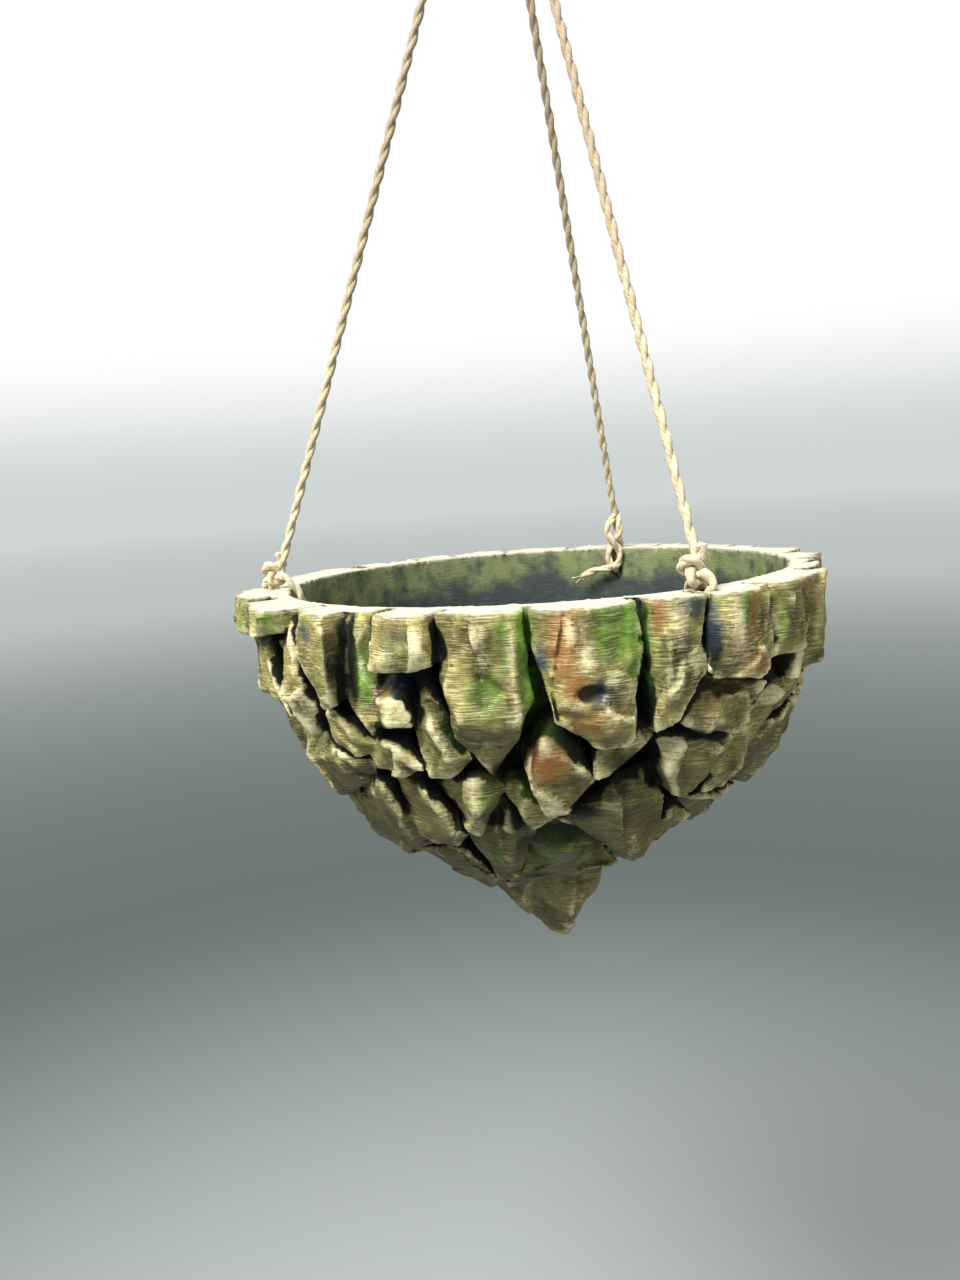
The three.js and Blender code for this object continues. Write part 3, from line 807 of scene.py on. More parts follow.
        # painted shade mixed with dark wash: the groove mask is darkest where short rays can't leave the
        # surface
        dark = pad.math("MAXIMUM", pad.attribute("groove"), pad.attribute(Pigment.SOOT.value))
        dark = ground.ragged(dark, ground.grain, self.soot_edge)
        kept = pad.math("SUBTRACT", 1.0, pad.attribute(Pigment.BARE.value), clamp=True)
        grown = pad.times(pad.attribute(Pigment.MOSS.value), ground.patches(self.grown_patches))
        tone = pad.mix(grown, self.groove, self.moss_bright)
        tone = pad.mix(pad.attribute(Pigment.TEAL.value), tone, self.teal)
        return pad.mix(pad.math("MAXIMUM", pad.times(dark, kept), pits, clamp=True), colour, tone)

    def _lining(self, ground: StoneGround, colour: Socket) -> Socket:
        """Paint the inner wall slate and olive, and the rim's flat top pale.

        Args:
            ground: The pad and the patterns.
            colour: What lies under this coat.

        Returns:
            The colour with this coat.
        """
        pad = ground.pad
        cloud = pad.math("SUBTRACT", pad.noise(ground.place, self.lichen_cloud), 0.5)
        reach = pad.math("ADD", pad.attribute("lichen"), pad.times(cloud, self.lichen_spread))
        grown = pad.times(pad.ramp(reach, self.lichen_reach), ground.patches(self.lichen_patches))
        wall = pad.mix(grown, self.slate, self.lichen)
        wall = pad.mix(pad.ramp(ground.lines, self.wall_streaks), wall, self.base_light)
        colour = pad.mix(pad.attribute("inside"), colour, wall)
        worn = pad.ramp(ground.patches(self.rim_patches), self.rim_wear)
        return pad.mix(pad.times(pad.attribute("rim"), worn), colour, self.rim)


def read_rows(items: Sequence, name: str, width: int, kind: type = float) -> np.ndarray:
    """Read a property of a mesh's items.

    Args:
        items: The vertices, edges or values.
        name: The property.
        width: How many numbers each item has.
        kind: The numbers' type.

    Returns:
        One row for each item.
    """
    rows = np.empty(len(items) * width, kind)
    items.foreach_get(name, rows)
    return rows.reshape(-1, width)


def read_points(mesh: bpy.types.Mesh) -> np.ndarray:
    """Vertex positions of a mesh, one row each."""
    return read_rows(mesh.vertices, "co", 3)


def read_normals(mesh: bpy.types.Mesh) -> np.ndarray:
    """Vertex normals of a mesh, one row each."""
    return read_rows(mesh.vertex_normals, "vector", 3)


def read_edges(mesh: bpy.types.Mesh) -> np.ndarray:
    """Vertex pairs of a mesh's edges, one row each."""
    return read_rows(mesh.edges, "vertices", 2, np.int64)


def read_attribute(mesh: bpy.types.Mesh, name: str) -> np.ndarray:
    """Values kept for the vertices under a name."""
    return read_rows(mesh.attributes[name].data, "value", 1, np.float32).ravel().astype(float)


def store(mesh: bpy.types.Mesh, name: str, values: np.ndarray) -> None:
    """Keep one value for each vertex under a name."""
    attribute = mesh.attributes.get(name) or mesh.attributes.new(name, "FLOAT", "POINT")
    attribute.data.foreach_set("value", values.astype(np.float32))


def blur(values: np.ndarray, edges: np.ndarray, rounds: int) -> np.ndarray:
    """Spread values along a mesh's edges.

    Args:
        values: One row for each vertex.
        edges: The vertex pairs.
        rounds: How often each vertex takes half of its neighbours' mean.

    Returns:
        The softened values.
    """
    spread = values.reshape(len(values), -1).copy()
    size = len(spread)
    near, far = edges[:, 0], edges[:, 1]
    count = np.maximum(np.bincount(edges.ravel(), minlength=size), 1)
    for _ in range(rounds):
        for column in range(spread.shape[1]):
            line = spread[:, column]
            total = np.bincount(near, line[far], size) + np.bincount(far, line[near], size)
            spread[:, column] = 0.5 * line + 0.5 * total / count
    return spread.reshape(values.shape)


def ease(values: np.ndarray, fade: Fade) -> np.ndarray:
    """Ease values as a fade says.

    Args:
        values: The values.
        fade: The change from its start to its end.

    Returns:
        The eased values.
    """
    share = np.clip((values - fade.low) / (fade.high - fade.low), 0.0, 1.0)
    eased = share * share * (3 - 2 * share)
    return fade.start + (fade.end - fade.start) * eased


@dataclass(frozen=True)
class Dab:
    """One dab on the rocks: its angle, depth in percent, half sizes in millimetres and strength."""

    azimuth: float
    depth: float
    wide: float
    high: float
    strength: float = 1.0


FRONT_DABS: dict[Pigment, tuple[Dab, ...]] = {
    Pigment.MOSS: (
        Dab(204, 4, 9, 5, 0.5),
        Dab(222, 3, 2, 5, 0.7),
        Dab(240, 11, 1.8, 9),
        Dab(252, 26, 3, 6, 0.35),
        Dab(262, 15, 5, 6, 0.75),
        Dab(265, 5, 2.5, 9, 0.6),
        Dab(268, 8, 2.2, 14, 1.2),
        Dab(281, 4, 6, 8, 1.1),
        Dab(285, 8, 2.8, 14, 1.3),
        Dab(279, 20, 5, 3, 0.4),
        Dab(302, 3, 2.5, 6, 0.75),
        Dab(312, 7, 1.5, 9, 0.6),
        Dab(269, 25, 4, 3, 0.35),
        Dab(258, 39, 4, 6, 0.3),
        Dab(265, 39, 4, 7, 0.3),
        Dab(257, 56, 4, 6, 0.35),
        Dab(272, 60, 12, 7, 0.3),
    ),
    Pigment.RUST: (
        Dab(232, 8, 5, 3, 0.3),
        Dab(244, 12, 3, 2, 0.6),
        Dab(243, 17, 5, 5, 0.3),
        Dab(273.5, 6, 3.6, 10),
        Dab(275, 14, 4.5, 6, 0.7),
        Dab(277, 22, 8, 4, 0.6),
        Dab(288, 2, 2, 5, 0.7),
        Dab(304, 6, 1.8, 8, 0.7),
        Dab(304, 14, 4, 3),
        Dab(270, 31, 6, 6, 0.8),
        Dab(245, 46, 3, 5, 0.3),
    ),
    Pigment.TEAL: (
        Dab(231, 4, 4, 3, 0.8),
        Dab(249, 4, 5, 3, 0.5),
        Dab(246, 15, 1.5, 3, 0.9),
        Dab(270, 9, 1.6, 3.5),
        Dab(278, 16, 3.5, 3.5, 0.7),
        Dab(293, 1, 5, 4, 0.8),
        Dab(297, 4, 1.6, 6),
    ),
    # black wash and painted shade in deep gaps between the rocks
    Pigment.SOOT: (
        Dab(237.5, 9, 2, 13, 1.2),
        Dab(248, 13, 3.5, 2),
        Dab(243, 23, 4, 1.6, 0.9),
        Dab(297, 10, 1.5, 6, 0.9),
        Dab(319, 3, 4, 4, 0.4),
        Dab(296, 29, 3.5, 2, 0.8),
        Dab(283, 33, 5, 4, 0.5),
        Dab(285, 40, 8, 5, 0.45),
        Dab(270, 54, 9, 4, 1.1),
        Dab(263, 33, 4, 4, 0.9),
        Dab(264, 47, 3, 4, 0.9),
        Dab(277, 45, 5, 3, 0.8),
        Dab(264, 68, 7, 2, 0.6),
        Dab(262, 22, 4, 3, 0.3),
    ),
    Pigment.CREAM: (
        Dab(232, 7, 3, 5, 0.4),
        Dab(247, 8, 5, 2.5, 0.7),
        Dab(261.8, 5, 1.3, 8, 0.75),
        Dab(266, 8, 1.3, 10, 0.75),
        Dab(274.3, 4, 1.5, 5, 0.9),
        Dab(276.5, 9, 1.7, 5, 0.9),
        Dab(280, 13, 2.2, 3, 0.7),
        Dab(283.8, 17, 1.8, 3.5, 0.9),
        Dab(289.5, 17, 3, 4, 0.6),
        Dab(290.5, 4, 3, 7, 0.7),
        Dab(293, 12, 2.2, 5, 0.8),
        Dab(300, 6, 2.4, 10, 0.8),
        Dab(302, 13, 3, 3, 0.6),
        Dab(310.5, 9, 2, 6, 0.6),
    ),
    Pigment.BARE: (
        Dab(209, 12, 5, 7, 0.7),
        Dab(278, 16, 4.5, 4.5, 0.6),
        Dab(306, 18, 9, 4, 0.8),
        Dab(318, 12, 6, 6, 0.7),
    ),
}


@dataclass(frozen=True)
class Weathering:
    """Crags, chips and grain that break up the faces of the rocks."""

    crag_depth: float = 1.3 * MM
    crag_scale: float = 78.0
    crag_slope: float = 0.55
    crag_smoothness: float = 0.10
    chip_depth: float = 1.3 * MM
    chip_scale: float = 120.0
    chip_level: float = 0.45
    grain_depth: float = 0.55 * MM
    grain_scale: float = 330.0
    grain_level: float = 0.5
    crag_squash: Triple = (1.0, 1.0, 0.45)

    def apply(self, piece: bpy.types.Object, material: bpy.types.Material) -> None:
        """Weather a piece and dress it."""
        add_tree(piece, self._tree(), self, material)
        settle(piece)

    def _tree(self) -> bpy.types.NodeTree:
        """Build the Geometry Nodes tree, which moves each point that the weather reaches.

        Returns:
            The tree.
        """
        tree = geometry_tree("rock_weathering", Weathering)
        pad = NodePad(tree)
        given = pad.add("NodeGroupInput").outputs
        place = pad.add("GeometryNodeInputPosition").outputs[0]
        normal = pad.add("GeometryNodeInputNormal").outputs[0]
        reached = pad.add("GeometryNodeInputNamedAttribute", {"Name": "weathered"}).outputs["Attribute"]
        outwards = pad.vector("NORMALIZE", pad.vector("MULTIPLY", place, (1.0, 1.0, 0.0)))
        offset = pad.vector(
            "ADD",
            pad.vector("SCALE", normal, scale=self._chips(pad, given, place)),
            pad.vector("SCALE", outwards, scale=self._crags(pad, given, place)),
        )
        offset = pad.vector("SCALE", offset, scale=reached)
        moved = pad.add("GeometryNodeSetPosition", {"Geometry": given["Geometry"], "Offset": offset})
        pad.dress(moved.outputs[0], given["Material"])
        return tree

    def _crags(self, pad: NodePad, given: bpy.types.NodeOutputs, place: Socket) -> Socket:
        """Tilt the cells of a pattern to flat faces.

        Args:
            pad: The pad of the tree.
            given: The tree's inputs.
            place: The point's place.

        Returns:
            How far the point moves outwards.
        """
        squashed = pad.vector("MULTIPLY", place, self.crag_squash)
        cell = pad.add(
            "ShaderNodeTexVoronoi",
            {"Vector": squashed, "Scale": given["Crag Scale"], "Smoothness": given["Crag Smoothness"]},
            feature="SMOOTH_F1",
        ).outputs
        lean = pad.vector("SUBTRACT", cell["Color"], (0.5, 0.5, 0.5))
        from_middle = pad.vector("SUBTRACT", squashed, cell["Position"])
        along = pad.add("ShaderNodeVectorMath", {0: from_middle, 1: lean}, operation="DOT_PRODUCT")
        tilt = pad.times(along.outputs["Value"], given["Crag Slope"])
        lowest = pad.times(given["Crag Depth"], -1.0)
        return pad.math("MAXIMUM", pad.math("MINIMUM", tilt, given["Crag Depth"]), lowest)

    @staticmethod
    def _chips(pad: NodePad, given: bpy.types.NodeOutputs, place: Socket) -> Socket:
        """Add up chips and grain.

        Args:
            pad: The pad of the tree.
            given: The tree's inputs.
            place: The point's place.

        Returns:
            How far the point moves along its normal.
        """
        chip = pad.add(
            "ShaderNodeTexVoronoi",
            {"Vector": place, "Scale": given["Chip Scale"], "Detail": 1.0},
            feature="SMOOTH_F1",
        )
        grain = pad.add(
            "ShaderNodeTexNoise",
            {"Vector": place, "Scale": given["Grain Scale"], "Detail": 3.0, "Roughness": 0.6},
        )
        raised = []
        for name, height in (("Chip", chip.outputs["Distance"]), ("Grain", grain.outputs["Fac"])):
            above = pad.math("SUBTRACT", height, given[f"{name} Level"])
            raised.append(pad.times(above, given[f"{name} Depth"]))
        return pad.math("ADD", *raised)


@dataclass
class RockBowl:
    """The printed bowl: its solid's rocks are rounded, weathered and painted."""

    node: str = "rock_bowl"
    body: str = "planter"
    slot: str = "painted_rock"
    wall: float = 3.5 * MM
    groove: float = 7.5 * MM
    floor_radius: float = 44 * MM
    taper: tuple[tuple[float, float], ...] = (
        (0, 1),
        (20, 0.98),
        (40, 0.845),
        (60, 0.645),
        (70, 0.49),
        (80, 0.295),
        (90, 0.135),
        (100, 0),
    )
    mirror_sum: float = 366
    doubles: float = 0.002 * MM
    voxel: float = 0.72 * MM
    rounding: int = 1
    rounding_factor: float = 0.5
    relief: float = 0.65
    relief_rounds: int = 120
    most_faces: int = 190_000
    weathering: Weathering = Weathering()
    inner_margin: float = 1.4 * MM
    floor_margin: float = 1.2
    lip_depth: float = 0.6
    rim_depth: float = 1.2
    rim_facing: float = 0.6
    zone_rounds: int = 2
    least_weather: float = 0.08
    lichen_depth: Fade = Fade(3, 15)
    ridge_rounds: int = 3
    ridge_crest: Fade = Fade(0.045 * MM, 0.15 * MM, 0.0, 0.75)
    fine_rounds: int = 4
    fine_crest: Fade = Fade(0.09 * MM, 0.28 * MM, 0.0, 0.8)
    broad_rounds: int = 60
    broad_crest: Fade = Fade(0.5 * MM, 1.6 * MM, 0.0, 0.6)
    crest_depth: Fade = Fade(0.8, 2.6)
    crest_gain: float = 1.25
    crest_rounds: int = 4
    crest_open: Fade = Fade(0.40, 0.66)
    crest_low: float = 0.5
    groove_closed: Fade = Fade(0.42, 0.58)
    low_depth: Fade = Fade(20, 62)
    tip_depth: Fade = Fade(74, 88, 0.0, 0.65)
    brushed_open: Fade = Fade(0.45, 0.80)
    brushed_facing: Fade = Fade(-0.5, 0.35)
    under_facing: Fade = Fade(0.15, 0.75)
    under_rounds: int = 6
    sky_rays: int = 22
    sky_reach: float = 16 * MM
    sky_every: int = 7
    sky_start: float = 0.3 * MM
    sky_rounds: int = 6
    rim_z: float = field(init=False)
    height: float = field(init=False)

    def __post_init__(self) -> None:
        """Take the rim's level and the height from the solid."""
        low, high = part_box(self.node)
        self.rim_z = high.z
        self.height = high.z - low.z

    def build(self, material: bpy.types.Material) -> bpy.types.Object:
        """Make the bowl's piece.

        Args:
            material: The stone paint.

        Returns:
            The dressed bowl, which stands for the solid.
        """
        piece = self._rounded_copy()
        self._mark_zones(piece.data)
        self._deepen(piece.data)
        self.weathering.apply(piece, material)
        self._paint(piece)
        self._thin(piece)
        piece.data.shade_smooth()
        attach(piece, self.body)
        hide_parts(self.node)
        LOG.info("%s: %d faces", piece.name, len(piece.data.polygons))
        return piece

    def _rounded_copy(self) -> bpy.types.Object:
        """Copy the solid, give it small even faces and round its edges a little.

        Returns:
            The copy.
        """
        mesh = bpy.data.objects[self.node].data.copy()
        shape = bmesh.new()
        shape.from_mesh(mesh)
        bmesh.ops.remove_doubles(shape, verts=shape.verts, dist=self.doubles)
        shape.to_mesh(mesh)
        shape.free()
        mesh.materials.clear()
        piece = new_object("painted_rock_bowl", mesh)
        remesh = piece.modifiers.new("even_faces", "REMESH")
        remesh.mode = "VOXEL"
        remesh.voxel_size = self.voxel
        smooth = piece.modifiers.new("rounding", "SMOOTH")
        smooth.factor = self.rounding_factor
        smooth.iterations = self.rounding
        settle(piece)
        return piece

    def _thin(self, piece: bpy.types.Object) -> None:
        """Take faces away where the surface is flat, with the painted masks kept.

        Args:
            piece: The bowl.
        """
        piece.data.calc_loop_triangles()
        thin = piece.modifiers.new("fewer_faces", "DECIMATE")
        thin.ratio = min(1.0, self.most_faces / len(piece.data.loop_triangles))
        settle(piece)

    def _depth(self, points: np.ndarray) -> np.ndarray:
        """Depth below the rim in percent of the height."""
        return (self.rim_z - points[:, 2]) / self.height * 100

    def _face_radius(self, depth: np.ndarray) -> np.ndarray:
        """Radius of the mean rock face at a depth."""
        levels, shares = zip(*self.taper)
        return np.interp(depth, levels, shares) * (RIM_INNER_RADIUS + self.wall + self.groove)

    def _mark_zones(self, mesh: bpy.types.Mesh) -> None:
        """Mark the inner wall, the rim's flat top and what the weather reaches.

        Args:
            mesh: The bowl's mesh.
        """
        points, normals, edges = read_points(mesh), read_normals(mesh), read_edges(mesh)
        depth = self._depth(points)
        radius = np.hypot(points[:, 0], points[:, 1])
        inner = self._face_radius(depth) - self.groove - self.wall
        levels = np.arange(101.0)
        floor_depth = np.interp(
            -(self.floor_radius + self.wall + self.groove),
            -self._face_radius(levels),
            levels,
        )
        within = radius < inner + self.inner_margin
        within &= (depth < floor_depth + self.floor_margin) & (depth > self.lip_depth)
        flat = (depth < self.rim_depth) & (normals[:, 2] > self.rim_facing)
        inside = blur(within.astype(float), edges, self.zone_rounds)
        rim = blur(flat.astype(float), edges, self.zone_rounds)
        reached = np.clip(1 - inside - rim, 0.0, 1.0)
        store(mesh, "inside", inside)
        store(mesh, "rim", rim)
        store(mesh, "weathered", reached * (1 - self.least_weather) + self.least_weather)
        store(mesh, "lichen", 1 - ease(depth, self.lichen_depth))
        store(mesh, "ridge", self._standing_out(mesh, self.ridge_rounds))

    @staticmethod
    def _standing_out(mesh: bpy.types.Mesh, rounds: int) -> np.ndarray:
        """How far each vertex stands out from its blurred neighbourhood."""
        points = read_points(mesh)
        return np.einsum("ij,ij->i", points - blur(points, read_edges(mesh), rounds), read_normals(mesh))

    def _deepen(self, mesh: bpy.types.Mesh) -> None:
        """Lift the ridges and sink the hollows of the rocks away from their blurred shape.

        Args:
            mesh: The bowl's mesh.
        """
        points = read_points(mesh)
        relief = points - blur(points, read_edges(mesh), self.relief_rounds)
        points += self.relief * relief * read_attribute(mesh, "weathered")[:, None]
        mesh.vertices.foreach_set("co", points.ravel())
        mesh.update()

    def _paint(self, piece: bpy.types.Object) -> None:
        """Work out the masks that the stone paint reads.

        Args:
            piece: The weathered bowl.
        """
        mesh = piece.data
        points, normals, edges = read_points(mesh), read_normals(mesh), read_edges(mesh)
        depth = self._depth(points)
        outside = 1 - np.clip(read_attribute(mesh, "inside") + read_attribute(mesh, "rim"), 0.0, 1.0)
        sky = self._open_sky(piece, edges)
        low = ease(depth, self.low_depth) * (1 - ease(depth, self.tip_depth))
        crest = ease(read_attribute(mesh, "ridge"), self.ridge_crest)
        for rounds, fade in ((self.fine_rounds, self.fine_crest), (self.broad_rounds, self.broad_crest)):
            crest = np.maximum(crest, ease(self._standing_out(mesh, rounds), fade))
        crest = self.crest_gain * blur(crest * ease(depth, self.crest_depth), edges, self.crest_rounds)
        crest *= ease(sky, self.crest_open) * (1 - self.crest_low * low)
        # dry brush with a painted highlight on the open faces that don't look down
        brushed = ease(sky, self.brushed_open) * ease(normals[:, 2], self.brushed_facing)
        # painted shade for the faces that look down
        downwards = -blur(normals, edges, self.under_rounds)[:, 2]
        # painted shade: the grooves darken where short rays are blocked
        store(mesh, "groove", ease(1 - sky, self.groove_closed) * outside)
        store(mesh, "crest", crest * outside)
        store(mesh, "brushed", brushed * outside)
        store(mesh, "under", ease(downwards, self.under_facing) * outside)
        store(mesh, "low", low)
        self._dab(mesh, points, depth, outside)

    def _open_sky(self, piece: bpy.types.Object, edges: np.ndarray) -> np.ndarray:
        """Share of short rays that leave the surface freely.

        Args:
            piece: The bowl.
            edges: Its vertex pairs.

        Returns:
            For each vertex, 1 in the open and near 0 at the bottom of a groove.
        """
        points, normals = read_points(piece.data), read_normals(piece.data)
        tree = BVHTree.FromObject(piece, bpy.context.evaluated_depsgraph_get())
        golden = math.pi * (3 - math.sqrt(5))
        spread = []
        for index in range(self.sky_rays):
            lift = math.sqrt(1 - (index + 0.5) / self.sky_rays)
            flat = math.sqrt(1 - lift * lift)
            spread.append((flat * math.cos(golden * index), flat * math.sin(golden * index), lift))
        free = np.zeros(len(points))
        known = np.zeros(len(points))
        for index in range(0, len(points), self.sky_every):
            normal = Vector(normals[index])
            turn = normal.to_track_quat("Z", "Y")
            start = Vector(points[index]) + normal * self.sky_start
            hits = sum(tree.ray_cast(start, turn @ Vector(ray), self.sky_reach)[0] is None for ray in spread)
            free[index] = hits / self.sky_rays
            known[index] = 1
        shares = blur(np.column_stack((free, known)), edges, self.sky_rounds)
        return shares[:, 0] / np.maximum(shares[:, 1], 1e-6)

    def _dab(
        self,
        mesh: bpy.types.Mesh,
        points: np.ndarray,
        depth: np.ndarray,
        outside: np.ndarray,
    ) -> None:
        """Dab the pigments on the front, and mirrored on the back.

        Args:
            mesh: The bowl's mesh.
            points: Its vertices.
            depth: Their depths in percent.
            outside: The mask of the rocks.
        """
        azimuth = np.degrees(np.arctan2(points[:, 1], points[:, 0])) % 360
        radius = np.hypot(points[:, 0], points[:, 1])
        for pigment, dabs in FRONT_DABS.items():
            mask = np.zeros(len(points))
            for dab in dabs:
                for angle in (dab.azimuth, (self.mirror_sum - dab.azimuth) % 360):
                    turn = (azimuth - angle + 180) % 360 - 180
                    across = np.radians(turn) * radius / (dab.wide * MM)
                    down = (depth - dab.depth) / 100 * self.height / (dab.high * MM)
                    mask = np.maximum(mask, dab.strength * np.exp(-(across**2 + down**2)))
            store(mesh, pigment.value, mask * outside)


@dataclass(frozen=True)
class Strand:
    """One run of twine: its path, its plies and their sizes."""

    path: Sequence[Vector]
    plies: int = 2
    ply_radius: float = 0.95 * MM
    lay_radius: float = 0.49 * MM
    lay_length: float = 13 * MM
    sides: int = 8
    step: float = 0.8 * MM
    fuzz_density: float = 0.8e5
    fuzz_length: float = 1.6 * MM
    fuzz_radius: float = 0.035 * MM
    seed: int = 1


class TwineMaker:
    """Lays twisted plies along a path with one Geometry Nodes tree."""

    UNEVEN_CLOUD = Cloud(420.0, 2.0)
    UNEVEN_RADIUS = Fade(0.25, 0.75, 0.92, 1.06)
    FIBRE_BEND: Triple = (0.45, 0.2, 0.3)
    FIBRE_LEAN = ((-0.25, -0.75, -math.pi), (0.25, 0.1, math.pi))
    FIBRE_SIZE = (0.35, 1.0)
    FIBRE_SIZE_SEED = 7

    def __init__(self, material: bpy.types.Material) -> None:
        """Take the twine's finish and build the tree."""
        self.material = material
        self.tree = self._tree()

    def _tree(self) -> bpy.types.NodeTree:
        """Build the tree: plies along the path, then loose fibres, then the finish.

        Returns:
            The tree.
        """
        tree = geometry_tree("twisted_twine", Strand)
        pad = NodePad(tree)
        given = pad.add("NodeGroupInput").outputs
        cover = self._cover(pad, given, self._plies(pad, given))
        smooth = pad.add("GeometryNodeSetShadeSmooth", {0: cover})
        joined = pad.add("GeometryNodeJoinGeometry")
        pad.feed(joined.inputs[0], smooth.outputs[0])
        pad.feed(joined.inputs[0], self._fuzz(pad, given, cover))
        pad.dress(joined.outputs[0], given["Material"])
        return tree

    @staticmethod
    def _plies(pad: NodePad, given: bpy.types.NodeOutputs) -> Socket:
        """Wind the plies round the path.

        Args:
            pad: The pad of the tree.
            given: The tree's inputs.

        Returns:
            One curve for each ply.
        """
        path = pad.add("GeometryNodeMeshToCurve", {0: given["Geometry"]})
        even = pad.add("GeometryNodeResampleCurve", {"Curve": path.outputs[0]}, mode="LENGTH")
        pad.feed(even.inputs["Length"], given["Step"])
        plies = pad.add(
            "GeometryNodeDuplicateElements",
            {"Geometry": even.outputs[0], "Amount": given["Plies"]},
            domain="SPLINE",
        ).outputs
        along = pad.add("GeometryNodeSplineParameter").outputs["Length"]
        turns = pad.math(
            "ADD",
            pad.math("DIVIDE", along, given["Lay Length"]),
            pad.math("DIVIDE", plies["Duplicate Index"], given["Plies"]),
        )
        angle = pad.times(turns, math.tau)
        tangent = pad.add("GeometryNodeInputTangent").outputs[0]
        normal = pad.add("GeometryNodeInputNormal").outputs[0]
        side = pad.vector("CROSS_PRODUCT", tangent, normal)
        spoke = pad.vector(
            "ADD",
            pad.vector("SCALE", normal, scale=pad.math("COSINE", angle)),
            pad.vector("SCALE", side, scale=pad.math("SINE", angle)),
        )
        kept = pad.keep(plies["Geometry"], "along", along)
        kept = pad.keep(kept, "ply", plies["Duplicate Index"])
        offset = pad.vector("SCALE", spoke, scale=given["Lay Radius"])
        return pad.add("GeometryNodeSetPosition", {"Geometry": kept, "Offset": offset}).outputs[0]

    def _cover(self, pad: NodePad, given: bpy.types.NodeOutputs, plies: Socket) -> Socket:
        """Give the plies their slightly uneven thickness.

        Args:
            pad: The pad of the tree.
            given: The tree's inputs.
            plies: The curves of the plies.

        Returns:
            Their mesh.
        """
        ring = pad.add(
            "GeometryNodeCurvePrimitiveCircle",
            {"Resolution": given["Sides"], "Radius": given["Ply Radius"]},
        )
        around = pad.add("GeometryNodeSplineParameter").outputs["Factor"]
        place = pad.add("GeometryNodeInputPosition").outputs[0]
        cover = pad.add(
            "GeometryNodeCurveToMesh",
            {
                "Curve": plies,
                "Profile Curve": pad.keep(ring.outputs[0], "around", around),
                "Scale": pad.ramp(pad.noise(place, self.UNEVEN_CLOUD), self.UNEVEN_RADIUS),
                "Fill Caps": True,
            },
        )
        return cover.outputs[0]

    def _fuzz(self, pad: NodePad, given: bpy.types.NodeOutputs, cover: Socket) -> Socket:
        """Scatter loose fibres over the plies.

        Args:
            pad: The pad of the tree.
            given: The tree's inputs.
            cover: The plies' mesh.

        Returns:
            The fibres, as instances.
        """
        roots = pad.add(
            "GeometryNodeDistributePointsOnFaces",
            {"Mesh": cover, "Density": given["Fuzz Density"], "Seed": given["Seed"]},
        )
        line = pad.add(
            "GeometryNodeCurveQuadraticBezier",
            {
                "Resolution": 3,
                "Start": (0.0, 0.0, 0.0),
                "Middle": pad.vector("SCALE", self.FIBRE_BEND, scale=given["Fuzz Length"]),
                "End": pad.vector("SCALE", (1.0, 0.0, 0.0), scale=given["Fuzz Length"]),
            },
        )
        ring = pad.add("GeometryNodeCurvePrimitiveCircle", {"Resolution": 3, "Radius": given["Fuzz Radius"]})
        fibre = pad.add(
            "GeometryNodeCurveToMesh",
            {"Curve": line.outputs[0], "Profile Curve": ring.outputs[0], "Fill Caps": True},
        )
        least, most = self.FIBRE_LEAN
        lean = pad.add(
            "FunctionNodeRandomValue",
            {0: least, 1: most, "Seed": given["Seed"]},
            data_type="FLOAT_VECTOR",
        )
        leaning = pad.add("FunctionNodeEulerToRotation", {0: lean.outputs[0]})
        turn = pad.add(
            "FunctionNodeRotateRotation",
            {0: roots.outputs["Rotation"], 1: leaning.outputs[0]},
            rotation_space="LOCAL",
        )
        smallest, largest = self.FIBRE_SIZE
        size = pad.add(
            "FunctionNodeRandomValue",
            {2: smallest, 3: largest, "Seed": pad.math("ADD", given["Seed"], self.FIBRE_SIZE_SEED)},
            data_type="FLOAT",
        )
        fibres = pad.add(
            "GeometryNodeInstanceOnPoints",
            {
                "Points": roots.outputs["Points"],
                "Instance": fibre.outputs[0],
                "Rotation": turn.outputs[0],
                "Scale": size.outputs[1],
            },
        )
        return fibres.outputs[0]

    def mesh(self, strand: Strand) -> bpy.types.Mesh:
        """Lay one strand.

        Args:
            strand: The run of twine.

        Returns:
            Its plain mesh.
        """
        line = bpy.data.meshes.new("strand_path")
        pairs = [(index, index + 1) for index in range(len(strand.path) - 1)]
        line.from_pydata([tuple(point) for point in strand.path], pairs, [])
        carrier = new_object("strand", line)
        add_tree(carrier, self.tree, strand, self.material)
        mesh = plain_mesh(carrier)
        bpy.data.objects.remove(carrier)
        return mesh

    def piece(self, name: str, strands: Sequence[Strand], body: str, node: str) -> bpy.types.Object:
        """Lay strands as one piece.

        Args:
            name: The piece's name.
            strands: The runs of twine in it.
            body: The body that it rides on.
            node: The solid that it stands for.

        Returns:
            The piece.
        """
        shape = bmesh.new()
        for strand in strands:
            mesh = self.mesh(strand)
            shape.from_mesh(mesh)
            bpy.data.meshes.remove(mesh)
        joined = bpy.data.meshes.new(name)
        shape.to_mesh(joined)
        shape.free()
        joined.materials.append(self.material)
        made = new_object(name, joined)
        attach(made, body)
        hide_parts(node)
        LOG.info("%s: %d faces", name, len(joined.polygons))
        return made


